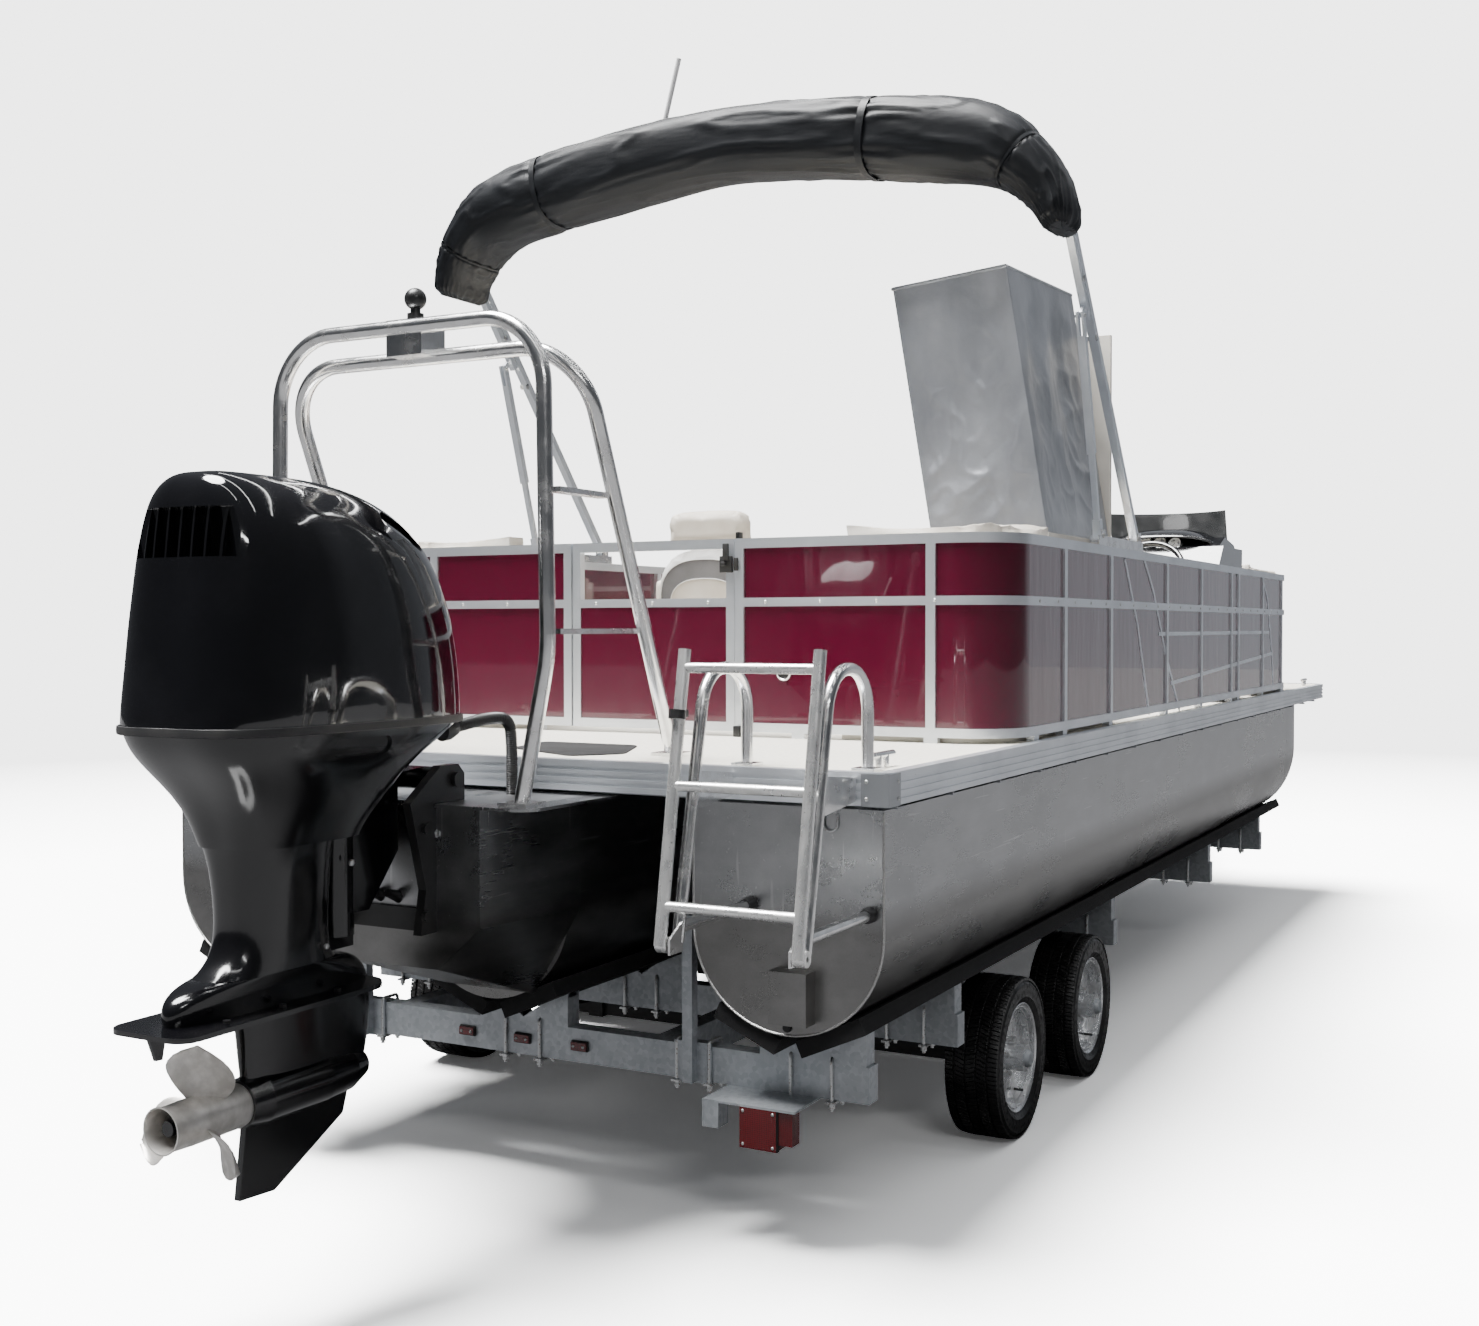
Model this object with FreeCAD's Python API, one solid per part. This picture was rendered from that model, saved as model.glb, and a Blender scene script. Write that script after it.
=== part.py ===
import FreeCAD, Part
import math
import os

# A three-log pontoon boat on its two-axle bunk trailer, in millimetres.
# While it is drawn, X = 0 is the deck's stern edge, +X points to the bow, +Y to port
# and Z = 0 is the ground. The finished set is then centred along X.

# Deck
deck_length = 7320.0
deck_half_beam = 1295.0
deck_top = 1323.0
deck_board = 28.0
deck_bow_radius = 190.0
deck_stern_radius = 30.0
edge_height = 82.0
edge_depth = 38.0
edge_lip = 3.0
edge_flute_depth = 5.0
edge_flute_height = 11.0
edge_flutes = 3
joist_width = 50.0
joist_pitch = 405.0
joist_flange = 5.0

# Logs
log_width = 560.0
log_height = 610.0
log_bottom = 610.0
log_offset = 960.0
log_stern = 100.0
log_bow = 7080.0
nose_length = 980.0
center_log_stern = 90.0
pod_stern = -350.0
pod_width = 600.0
pod_height = 430.0
pod_plate = 8.0
pod_plate_half = 465.0
pod_plate_overhang = 14.0
drain_bracket = (110.0, 56.0, 140.0)

# Fence
fence_stern = 1079.0
fence_bow = 6223.0
fence_half = 1253.0
fence_stern_radius = 200.0
fence_bow_radius = 300.0
rail_depth = 32.0
bottom_rail_gap = 18.0
bottom_rail_height = 30.0
mid_rail_bottom = 1760.0
mid_rail_height = 29.0
top_rail_top = 1988.0
top_rail_height = 33.0
post_width = 32.0
panel_inset = 8.0
panel_thick = 3.0
spacer_length = 46.0
spacer_width = 26.0
side_posts = (1655.0, 2240.0, 3120.0, 3785.0, 4465.0, 4640.0, 5300.0, 5880.0)
stern_posts = (985.0,)
accent_thick = 3.0
accent_width = 16.0
# Raised trim strips on each side, as runs of (X, Z) corners
accent_runs = (((2445.0, 1949.0), (2640.0, 1700.0), (2836.0, 1338.0)),
               ((2738.0, 1962.0), (2900.0, 1830.0), (3090.0, 1600.0), (3367.0, 1331.0)),
               ((5290.0, 1962.0), (5455.0, 1844.0), (5590.0, 1560.0), (5663.0, 1338.0)),
               ((2990.0, 1662.0), (5510.0, 1662.0)),
               ((3205.0, 1452.0), (5610.0, 1545.0)))

# Gates
stern_gate_hinge_side = 372.0
stern_gate_latch_side = -286.0
bow_gate_half = 340.0
side_gate_aft = 3900.0
side_gate_forward = 4560.0
gate_gap = 4.0
gate_depth = 28.0
knuckle_radius = 8.0
knuckle_height = 40.0
knuckle_gap = 0.3
leaf_thick = 4.0

# Tow arch
arch_tube = 42.0
arch_rear_x = -270.0
arch_rear_top = 2500.0
arch_rear_half = 448.0
arch_rear_foot_half = 385.0
arch_rear_knee = 1620.0
arch_corner = 190.0
arch_front_half = 505.0
arch_front_foot_x = 285.0
arch_front_top_x = -185.0
arch_front_top = 2430.0
arch_step_heights = (1680.0, 2045.0)
arch_step_width = 46.0
arch_step_thick = 14.0
arch_foot_plate = (90.0, 8.0)
arch_plate_half = 60.0
knob_radius = 30.0

# Boarding ladder
ladder_center_y = -1027.0
ladder_fixed_half = 174.0
ladder_fold_half = 186.0
ladder_tube = 32.0
ladder_front_x = 85.0
ladder_loop_top = 1585.0
ladder_loop_aft_x = -170.0
ladder_loop_aft_z = 1450.0
ladder_pivot_x = -330.0
ladder_pivot_z = 915.0
ladder_fold_top = 1635.0
ladder_fold_top_x = -205.0
ladder_rung_tube = 26.0
ladder_pin = 12.0
ladder_foot_plate = (64.0, 6.0)
standoff_z = 950.0

# Folding top
top_foot_x = 2626.0
top_foot_z = 2034.0
top_leg_end_x = 1720.0
top_leg_end_z = 3100.0
top_tube = 30.0
top_half = 1253.0
top_bow_x = 1500.0
boot_depth = 320.0
# The rolled cover's centre line from its end to the crown: Y, Z, X, turn and height
boot_route = ((1262.0, 3020.0, 1600.0, 72.0, 96.0), (1222.0, 3120.0, 1590.0, 64.0, 150.0),
              (1150.0, 3225.0, 1565.0, 46.0, 205.0), (1020.0, 3312.0, 1540.0, 20.0, 262.0),
              (780.0, 3362.0, 1515.0, 9.0, 282.0), (400.0, 3410.0, 1502.0, 6.0, 278.0),
              (0.0, 3440.0, 1500.0, 0.0, 270.0))
strut_foot_x = 2106.0
strut_foot_z = 2022.0
strut_top_x = 1868.0
strut_top_z = 2780.0
strut_tube = 28.0
strut_rod = 20.0
mount_thick = 8.0
mount_cheek = 4.0
mount_cheek_height = 34.0
mount_gap = 0.3
mount_end = 55.0
ear_half = 24.0
second_tube_gap = 2.0
light_pole_radius = 9.0
light_pole_base_z = 3500.0
light_pole_top_z = 3790.0
light_pole_y = 240.0

# Cabin furniture
fence_clear = 12.0
room_stern = 1595.0
room_bow = 2400.0
room_inner = -660.0
room_gap = 4.0
room_top = 2010.0
room_rim = 24.0
tent_foot_inner = -780.0
tent_top_inner = -633.0
tent_top_outer = -1060.0
tent_top_stern = 2887.0
tent_rise_bow = 0.05
tent_rise_outer = 0.095
curtain_inset = 6.0
curtain_thick = 8.0
curtain_lid_gap = 6.0
lid_thick = 70.0
lid_tip = 2800.0
lid_seat_gap = 12.0
lid_barrel = 9.0
lounge_bow = 2250.0
lounge_inner = 640.0
seat_base_top = 1640.0
seat_cushion_top = 1760.0
lounge_back_top = 2035.0
lounge_back_thick = 150.0
soft_gap = 0.3
couch_port_stern = 5080.0
couch_starboard_stern = 5180.0
couch_inner = 560.0
console_stern = 4300.0
console_bow = 4900.0
console_inner = -560.0
console_top = 2090.0
console_dash_top = 2140.0
windscreen_height = 190.0
windscreen_thick = 5.0
helm_wheel_radius = 175.0
helm_wheel_rim = 14.0
helm_wheel_z = 1960.0
chair_places = {"helm_chair": (3700.0, -640.0), "port_chair": (2800.0, 620.0)}
chair_pedestal_radius = 38.0
chair_seat_top = 1800.0
chair_back_top = 2215.0
chair_half_width = 270.0
chair_post_height = 250.0

# Outboard engine
tilt_x = -270.0
tilt_z = 1286.0
tilt_tube_radius = 20.0
tilt_boss = 31.0
clamp_half = 160.0
clamp_thick = 26.0
clamp_aft = -455.0
clamp_bottom = 890.0
clamp_hook = 40.0
steer_x = -560.0
swivel_top = 1300.0
swivel_bottom = 905.0
swivel_radius = 48.0
swivel_arm_half = 60.0
king_pin = 26.0
cowl_seam = 1465.0
# The top cover's outlines: height above the seam, aft end, fore end, half width
cowl_outlines = ((0.0, -1118.0, -240.0, 245.0), (70.0, -1112.0, -243.0, 244.0),
                 (140.0, -1104.0, -250.0, 241.0), (215.0, -1096.0, -264.0, 237.0),
                 (290.0, -1088.0, -286.0, 230.0), (350.0, -1082.0, -312.0, 222.0),
                 (410.0, -1076.0, -350.0, 211.0), (460.0, -1070.0, -400.0, 197.0),
                 (505.0, -1064.0, -462.0, 177.0), (540.0, -1056.0, -532.0, 152.0),
                 (568.0, -1042.0, -622.0, 116.0), (586.0, -1000.0, -750.0, 60.0))
cowl_wall = 12.0
recess_depth = 7.0
# Scoop and recess, each from (X, Z) to (X, Z) with its end radius
cowl_scoop = (-560.0, 1960.0, -440.0, 1905.0, 20.0)
pan_recess = (-800.0, 1405.0, -640.0, 1405.0, 22.0)
seam_band_height = 22.0
seam_band_out = 4.0
vent_half = 160.0
vent_bottom = 1850.0
vent_top = 1965.0
vent_back = -1035.0
vent_rim = 8.0
vent_fin = 6.0
vent_fins = 7
# The lower cover's outlines: height, aft end, fore end, half width
pan_outlines = ((1170.0, -950.0, -547.0, 118.0), (1220.0, -962.0, -522.0, 140.0),
                (1280.0, -988.0, -480.0, 172.0), (1340.0, -1034.0, -430.0, 208.0),
                (1420.0, -1098.0, -296.0, 240.0), (1465.0, -1118.0, -236.0, 245.0))
pan_floor = 1342.0
leg_outlines = ((870.0, -1010.0, -600.0, 84.0), (930.0, -945.0, -630.0, 88.0),
                (1000.0, -932.0, -634.0, 92.0), (1100.0, -938.0, -634.0, 102.0),
                (1170.0, -950.0, -634.0, 118.0))
flare_outlines = ((786.0, -1118.0, -455.0, 60.0), (840.0, -1105.0, -500.0, 74.0),
                  (870.0, -1010.0, -600.0, 84.0))
strut_outlines = ((560.0, -880.0, -470.0, 40.0), (640.0, -890.0, -450.0, 42.0),
                  (786.0, -905.0, -452.0, 52.0))
plate_aft = -1183.0
plate_fore = -470.0
plate_half = 125.0
plate_thick = 12.0
prop_z = 555.0
prop_root_x = -1010.0
prop_rake = 0.45
prop_pitch = 430.0
prop_hub_fore = -900.0
prop_hub_aft = -1135.0
prop_hub_radius = 54.0
prop_hub_wall = 6.0
prop_shaft = 18.0
prop_blade_thick = 5.0
# Each blade's sections: distance from the shaft and width
prop_sections = ((44.0, 96.0), (85.0, 138.0), (125.0, 152.0), (155.0, 126.0), (174.0, 72.0), (181.0, 24.0))
torpedo_radius = 66.0
skeg_thick = 18.0
skeg_tip_z = 318.0
hose_radius = 17.0
hose_y = -190.0

# Trailer
cross_rear_x = 260.0
cross_height = 100.0
cross_width = 60.0
cross_bottom = 405.0
cross_half = 1130.0
cross_places = (970.0, 2770.0, 4600.0, 5950.0)
beam_half = 470.0
beam_width = 60.0
beam_height = 100.0
beam_bow = 6700.0
bunk_stern = 110.0
bunk_bow = 6250.0
bunk_width = 200.0
bunk_thick = 46.0
bunk_angle = 24.0
bunk_bracket_thick = 8.0
bunk_bracket_half = 160.0
clearance_light_pitch = 205.0
axle_x = (1424.0, 2260.0)
wheel_center_y = 1090.0
tyre_radius = 266.0
tyre_width = 182.0
tyre_rim_radius = 176.0
axle_size = 60.0
axle_end_gap = 24.0
spindle_radius = 19.0
coupler_x = 8760.0
winch_setback = 1200.0
jack_setback = 580.0
tongue_half = 58.0
tongue_reach = 330.0
bunk_clear = 0.3
jack_radius = 32.0
jack_foot_radius = 90.0
jack_top = 1020.0
jack_travel = 160.0
spring_reach = 340.0
spring_width = 45.0
spring_thick = 26.0
spring_eye_drop = 42.0
lamp_y = 870.0
lamp_reach = 150.0
lamp_size = 110.0
guide_y = 590.0
guide_top = 880.0


# Shared shapes
def vec(x, y, z):
    return FreeCAD.Vector(x, y, z)


def block(x0, x1, y0, y1, z0, z1):
    lo = vec(min(x0, x1), min(y0, y1), min(z0, z1))
    return Part.makeBox(abs(x1 - x0), abs(y1 - y0), abs(z1 - z0), lo)


def rod(start, end, radius):
    way = end - start
    return Part.makeCylinder(radius, way.Length, start, way)


def join(*shapes):
    first = shapes[0]
    if len(shapes) == 1:
        return first
    return first.fuse(list(shapes[1:])).removeSplitter()


def prism(points, start, way):
    # A flat outline of (a, b) pairs, drawn square to way and pushed along it.
    axes = {"x": lambda a, b: vec(start, a, b), "y": lambda a, b: vec(a, start, b),
            "z": lambda a, b: vec(a, b, start)}[way[0]]
    corners = [axes(a, b) for a, b in points]
    push = {"x": vec(way[1], 0, 0), "y": vec(0, way[1], 0), "z": vec(0, 0, way[1])}[way[0]]
    return Part.Face(Part.makePolygon(corners + [corners[0]])).extrude(push)


def rounded_plan(x0, x1, half, stern_radius, bow_radius, inset, z0, z1):
    # A slab in plan with its four corners rounded, set in by inset all round.
    xa, xb, h = x0 + inset, x1 - inset, half - inset
    rs, rb = max(stern_radius - inset, 1.0), max(bow_radius - inset, 1.0)
    k = 1 - math.sqrt(0.5)
    runs = [Part.LineSegment(vec(xa, -h + rs, z0), vec(xa, h - rs, z0)),
            Part.Arc(vec(xa, h - rs, z0), vec(xa + k * rs, h - k * rs, z0), vec(xa + rs, h, z0)),
            Part.LineSegment(vec(xa + rs, h, z0), vec(xb - rb, h, z0)),
            Part.Arc(vec(xb - rb, h, z0), vec(xb - k * rb, h - k * rb, z0), vec(xb, h - rb, z0)),
            Part.LineSegment(vec(xb, h - rb, z0), vec(xb, -h + rb, z0)),
            Part.Arc(vec(xb, -h + rb, z0), vec(xb - k * rb, -h + k * rb, z0), vec(xb - rb, -h, z0)),
            Part.LineSegment(vec(xb - rb, -h, z0), vec(xa + rs, -h, z0)),
            Part.Arc(vec(xa + rs, -h, z0), vec(xa + k * rs, -h + k * rs, z0), vec(xa, -h + rs, z0))]
    wire = Part.Wire([run.toShape() for run in runs])
    return Part.Face(wire).extrude(vec(0, 0, z1 - z0))


def bent_path(points, radii):
    # Straight runs joined by tangent arcs, one radius for each inner point.
    edges = []
    last = points[0]
    for corner, radius, after in zip(points[1:-1], radii, points[2:]):
        back = (last - corner).normalize()
        ahead = (after - corner).normalize()
        half_turn = (math.pi - back.getAngle(ahead)) / 2
        reach = radius * math.tan(half_turn)
        start = corner + back * reach
        end = corner + ahead * reach
        middle = corner + (back + ahead).normalize() * (radius / math.cos(half_turn) - radius)
        if (start - last).Length > 0.01:
            edges.append(Part.LineSegment(last, start).toShape())
        edges.append(Part.Arc(start, middle, end).toShape())
        last = end
    edges.append(Part.LineSegment(last, points[-1]).toShape())
    return Part.Wire(edges)


def bent_tube(points, radii, radius):
    path = bent_path(points, radii)
    way = points[1] - points[0]
    ring = Part.Wire(Part.makeCircle(radius, points[0], way))
    return path.makePipeShell([ring], True, False)


def loft(sections, ruled=False):
    return Part.makeLoft(sections, True, ruled)


def square_bar(start, end, width, side=None):
    # A square-section bar between two points, its sides square to Y.
    way = end - start
    across = side or vec(0, 1, 0)
    up = way.cross(across).normalize()
    across = across.normalize()
    h = width / 2
    ring = [start + across * a + up * b for a, b in ((-h, -h), (h, -h), (h, h), (-h, h))]
    return Part.Face(Part.makePolygon(ring + [ring[0]])).extrude(way)


# Logs
log_top = log_bottom + log_height
beam_bottom = cross_bottom
beam_top = beam_bottom + beam_height
jack_x = coupler_x - jack_setback
winch_x = coupler_x - winch_setback


def log_section(x, half, bottom, shoulder, center_y):
    left, right = center_y - half, center_y + half
    run = [Part.LineSegment(vec(x, left, log_top), vec(x, left, shoulder)),
           Part.Arc(vec(x, left, shoulder), vec(x, center_y, bottom), vec(x, right, shoulder)),
           Part.LineSegment(vec(x, right, shoulder), vec(x, right, log_top)),
           Part.LineSegment(vec(x, right, log_top), vec(x, left, log_top))]
    return Part.Wire([part.toShape() for part in run])


def hull_log(center_y, stern):
    half = log_width / 2
    shoulder = log_bottom + half
    straight_end = log_bow - nose_length
    body = Part.Face(log_section(stern, half, log_bottom, shoulder, center_y))
    body = body.extrude(vec(straight_end - stern, 0, 0))
    nose_steps = ((0.0, 1.0, 0.0), (0.35, 0.96, 0.10), (0.7, 0.74, 0.38), (1.0, 0.34, 0.78))
    sections = []
    for along, width, lift in nose_steps:
        low = log_bottom + lift * (log_height - 60.0)
        w = half * width
        sections.append(log_section(straight_end + along * nose_length, w, low,
                                    min(low + w, log_top - 20.0), center_y))
    return join(body, loft(sections))


def hull_tube(side):
    log = hull_log(side * log_offset, log_stern)
    width, depth, height = drain_bracket
    plate_y = side * (log_offset + 30.0)
    bracket = block(log_stern - depth, log_stern + 1, plate_y - width / 2, plate_y + width / 2,
                    log_bottom + 40.0, log_bottom + 40.0 + height)
    return join(log, bracket)


def motor_pod():
    w = pod_width / 2
    full = log_width / 2 + 40.0
    base = log_top - pod_height
    aft = [vec(pod_stern, -w, log_top), vec(pod_stern, -w, base + 120), vec(pod_stern, -w * 0.55, base),
           vec(pod_stern, w * 0.55, base), vec(pod_stern, w, base + 120), vec(pod_stern, w, log_top)]
    low = log_bottom + 30.0
    front_x = center_log_stern
    front = [vec(front_x, -full, log_top), vec(front_x, -full, low + 260), vec(front_x, -full * 0.5, low),
             vec(front_x, full * 0.5, low), vec(front_x, full, low + 260), vec(front_x, full, log_top)]
    wires = [Part.makePolygon(ring + [ring[0]]) for ring in (aft, front)]
    body = loft(wires, True)
    plate = rounded_plan(pod_stern - pod_plate_overhang, joist_width, pod_plate_half, 60.0, 1.0, 0.0,
                         log_top, log_top + pod_plate)
    notch = block(pod_stern - pod_plate_overhang - 1, pod_stern + 30.0, -clamp_half - 6.0, clamp_half + 6.0,
                  log_top, log_top + pod_plate + 1)
    return join(body, plate.cut(notch))


# Deck
def deck_joists():
    bottom, top = log_top, deck_top - deck_board
    reach = deck_half_beam - edge_depth
    parts = []
    x = log_stern + joist_width
    while x + joist_width < deck_length - edge_depth:
        web = block(x, x + joist_flange, -reach, reach, bottom, top)
        foot = block(x, x + joist_width, -reach, reach, bottom, bottom + joist_flange)
        head = block(x, x + joist_width, -reach, reach, top - joist_flange, top)
        parts.append(join(web, foot, head))
        x += joist_pitch
    return Part.makeCompound(parts)


def deck_outline(inset, z0, z1):
    return rounded_plan(0.0, deck_length, deck_half_beam, deck_stern_radius, deck_bow_radius,
                        inset, z0, z1)


def deck_floor():
    return deck_outline(edge_depth, deck_top - deck_board, deck_top)


def deck_edge():
    bottom = deck_top - edge_height
    ring = deck_outline(0.0, bottom, deck_top + edge_lip).cut(
        deck_outline(edge_depth, bottom - 1, deck_top + edge_lip + 1))
    pitch = edge_height / (edge_flutes + 1)
    for step in range(edge_flutes):
        z = bottom + pitch * (step + 0.75)
        groove = deck_outline(-1.0, z, z + edge_flute_height).cut(
            deck_outline(edge_flute_depth, z - 1, z + edge_flute_height + 1))
        ring = ring.cut(groove)
    return ring


# Fence
bottom_rail_bottom = deck_top + bottom_rail_gap
bottom_rail_top = bottom_rail_bottom + bottom_rail_height
mid_rail_top = mid_rail_bottom + mid_rail_height
top_rail_bottom = top_rail_top - top_rail_height
far = 20000.0


def fence_plan(inset, z0, z1):
    return rounded_plan(fence_stern, fence_bow, fence_half, fence_stern_radius, fence_bow_radius,
                        inset, z0, z1)


def fence_wall(inset, thick, z0, z1):
    return fence_plan(inset, z0, z1).cut(fence_plan(inset + thick, z0 - 1, z1 + 1))


def stern_post(y):
    return block(fence_stern, fence_stern + rail_depth, y - post_width / 2, y + post_width / 2,
                 bottom_rail_bottom, top_rail_top)


def bow_post(y):
    return block(fence_bow - rail_depth, fence_bow, y - post_width / 2, y + post_width / 2,
                 bottom_rail_bottom, top_rail_top)


def side_post(x, side):
    return block(x - post_width / 2, x + post_width / 2, side * (fence_half - rail_depth),
                 side * fence_half, bottom_rail_bottom, top_rail_top)


def spacer(x, y, along_x=True):
    half_x, half_y = spacer_length / 2, spacer_width / 2
    if not along_x:
        half_x, half_y = half_y, half_x
    return block(x - half_x, x + half_x, y - half_y, y + half_y, deck_top, bottom_rail_bottom)


def gate_hole_stern(extra=0.0):
    return block(fence_stern - 50, fence_stern + 60, stern_gate_latch_side - extra,
                 stern_gate_hinge_side + extra, deck_top, far)


def gate_hole_bow(extra=0.0):
    return block(fence_bow - 60, fence_bow + 50, -bow_gate_half - extra, bow_gate_half + extra,
                 deck_top, far)


def gate_hole_side(extra=0.0):
    return block(side_gate_aft - extra, side_gate_forward + extra, fence_half - 60, fence_half + 50,
                 deck_top, far)


def half_space(side):
    return block(-far, far, 0.0, side * far, -far, far)


def hinge_heights():
    return (bottom_rail_top + 60.0, mid_rail_top + 30.0)


def hinge_pair(x, y, fixed_way, moving_way):
    # Knuckles on a gate's hinge line: lower ones fixed, upper ones moving.
    fixed, moving = [], []
    for z in hinge_heights():
        fixed.append(leafed(x, y, z, fixed_way))
        moving.append(leafed(x, y, z + knuckle_height + knuckle_gap, moving_way))
    return fixed, moving


def leafed(x, y, z, way):
    barrel = Part.makeCylinder(knuckle_radius, knuckle_height, vec(x, y, z))
    dx, dy, back_x, back_y = way
    reach = 26.0
    if dy:
        x_in = x + back_x * knuckle_radius
        leaf = block(x_in, x_in - back_x * leaf_thick, y, y + dy * reach, z, z + knuckle_height)
    else:
        y_in = y + back_y * knuckle_radius
        leaf = block(x, x + dx * reach, y_in, y_in - back_y * leaf_thick, z, z + knuckle_height)
    return join(barrel, leaf)


stern_hinge = (fence_stern + rail_depth + knuckle_radius, stern_gate_hinge_side - gate_gap / 2)
bow_hinge = (fence_bow - rail_depth - knuckle_radius, bow_gate_half - gate_gap / 2)
side_hinge = (side_gate_forward - gate_gap / 2, fence_half - rail_depth - knuckle_radius)


def fence_frame(side):
    rails = [fence_wall(0.0, rail_depth, bottom_rail_bottom, bottom_rail_top),
             fence_wall(0.0, rail_depth, mid_rail_bottom, mid_rail_top),
             fence_wall(0.0, rail_depth, top_rail_bottom, top_rail_top)]
    cutters = [gate_hole_stern(), gate_hole_bow(), gate_hole_side(), half_space(-side)]
    frame = [rail.cut(cutters) for rail in rails]
    half_post = post_width / 2
    posts = [stern_post(side * y) for y in stern_posts]
    places = [x for x in side_posts if side < 0 or not side_gate_aft - 60 < x < side_gate_forward + 60]
    posts += [side_post(x, side) for x in places]
    if side > 0:
        posts.append(stern_post(stern_gate_hinge_side + half_post))
        posts.append(side_post(side_gate_aft - half_post, side))
        posts.append(side_post(side_gate_forward + half_post, side))
        posts.append(bow_post(bow_gate_half + half_post))
        hinges = hinge_pair(*stern_hinge, (0, 1, -1, 0), (0, -1, -1, 0))[0]
        hinges += hinge_pair(*bow_hinge, (0, 1, 1, 0), (0, -1, 1, 0))[0]
        hinges += hinge_pair(*side_hinge, (1, 0, 0, 1), (-1, 0, 0, 1))[0]
        posts += hinges
    else:
        posts.append(stern_post(stern_gate_latch_side - half_post))
        posts.append(bow_post(-bow_gate_half - half_post))
    feet_x = [fence_stern + fence_stern_radius + 60.0] + list(places) + [fence_bow - fence_bow_radius]
    mid = side * (fence_half - rail_depth / 2)
    feet = [spacer(x, mid) for x in feet_x]
    inset = rail_depth / 2
    feet += [spacer(fence_stern + inset, side * y, False) for y in (520.0, 985.0)]
    feet += [spacer(fence_bow - inset, side * y, False) for y in (420.0, 800.0)]
    strips = [strip.cut([gate_hole_side()]) for strip in accent_strips(side)]
    return join(*(frame + posts + feet + strips))


def accent_strips(side):
    # Raised strips on the panels' outer face, each run closed at its corners by round dabs.
    half = accent_width / 2
    y = side * (fence_half - panel_inset)
    pieces = []
    for run in accent_runs:
        for (x0, z0), (x1, z1) in zip(run, run[1:]):
            length = math.hypot(x1 - x0, z1 - z0)
            dx, dz = (x1 - x0) / length * half, (z1 - z0) / length * half
            pieces.append(prism([(x0 - dz, z0 + dx), (x1 - dz, z1 + dx), (x1 + dz, z1 - dx),
                                 (x0 + dz, z0 - dx)], y, ("y", side * accent_thick)))
        for x, z in run[1:-1]:
            pieces.append(rod(vec(x, y, z), vec(x, y + side * accent_thick, z), half))
    return pieces


def fence_panels(side, frame):
    sheet = fence_wall(panel_inset, panel_thick, bottom_rail_top, top_rail_bottom)
    cutters = [gate_hole_stern(), gate_hole_bow(), gate_hole_side(), half_space(-side), frame]
    return sheet.cut(cutters)


def gate_bars(low, high, make):
    # A gate's frame: two stiles and three rails of one section.
    stiles = [make(low, low + post_width, bottom_rail_bottom, top_rail_top),
              make(high - post_width, high, bottom_rail_bottom, top_rail_top)]
    rails = [make(low, high, z0, z1) for z0, z1 in ((bottom_rail_bottom, bottom_rail_top),
                                                   (mid_rail_bottom, mid_rail_top),
                                                   (top_rail_bottom, top_rail_top))]
    return stiles + rails


def gate_stern():
    low, high = stern_gate_latch_side + gate_gap, stern_gate_hinge_side - gate_gap

    def bar(y0, y1, z0, z1):
        return block(fence_stern + rail_depth - gate_depth, fence_stern + rail_depth, y0, y1, z0, z1)

    bars = gate_bars(low, high, bar) + hinge_pair(*stern_hinge, (0, 1, -1, 0), (0, -1, -1, 0))[1]
    frame = join(*bars)
    x = fence_stern + panel_inset
    panel = block(x, x + panel_thick, low, high, bottom_rail_top, mid_rail_bottom).cut(frame)
    return frame, panel


def gate_bow():
    low, high = -bow_gate_half + gate_gap, bow_gate_half - gate_gap

    def bar(y0, y1, z0, z1):
        return block(fence_bow - rail_depth, fence_bow - rail_depth + gate_depth, y0, y1, z0, z1)

    bars = gate_bars(low, high, bar) + hinge_pair(*bow_hinge, (0, 1, 1, 0), (0, -1, 1, 0))[1]
    frame = join(*bars)
    x = fence_bow - panel_inset
    panel = block(x - panel_thick, x, low, high, bottom_rail_top, top_rail_bottom).cut(frame)
    return frame, panel


def gate_side():
    low, high = side_gate_aft + gate_gap, side_gate_forward - gate_gap

    def bar(x0, x1, z0, z1):
        return block(x0, x1, fence_half - rail_depth, fence_half - rail_depth + gate_depth, z0, z1)

    bars = gate_bars(low, high, bar) + hinge_pair(*side_hinge, (1, 0, 0, 1), (-1, 0, 0, 1))[1]
    frame = join(*bars)
    y = fence_half - panel_inset
    panel = block(low, high, y - panel_thick, y, bottom_rail_top, top_rail_bottom).cut(frame)
    return frame, panel


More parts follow.
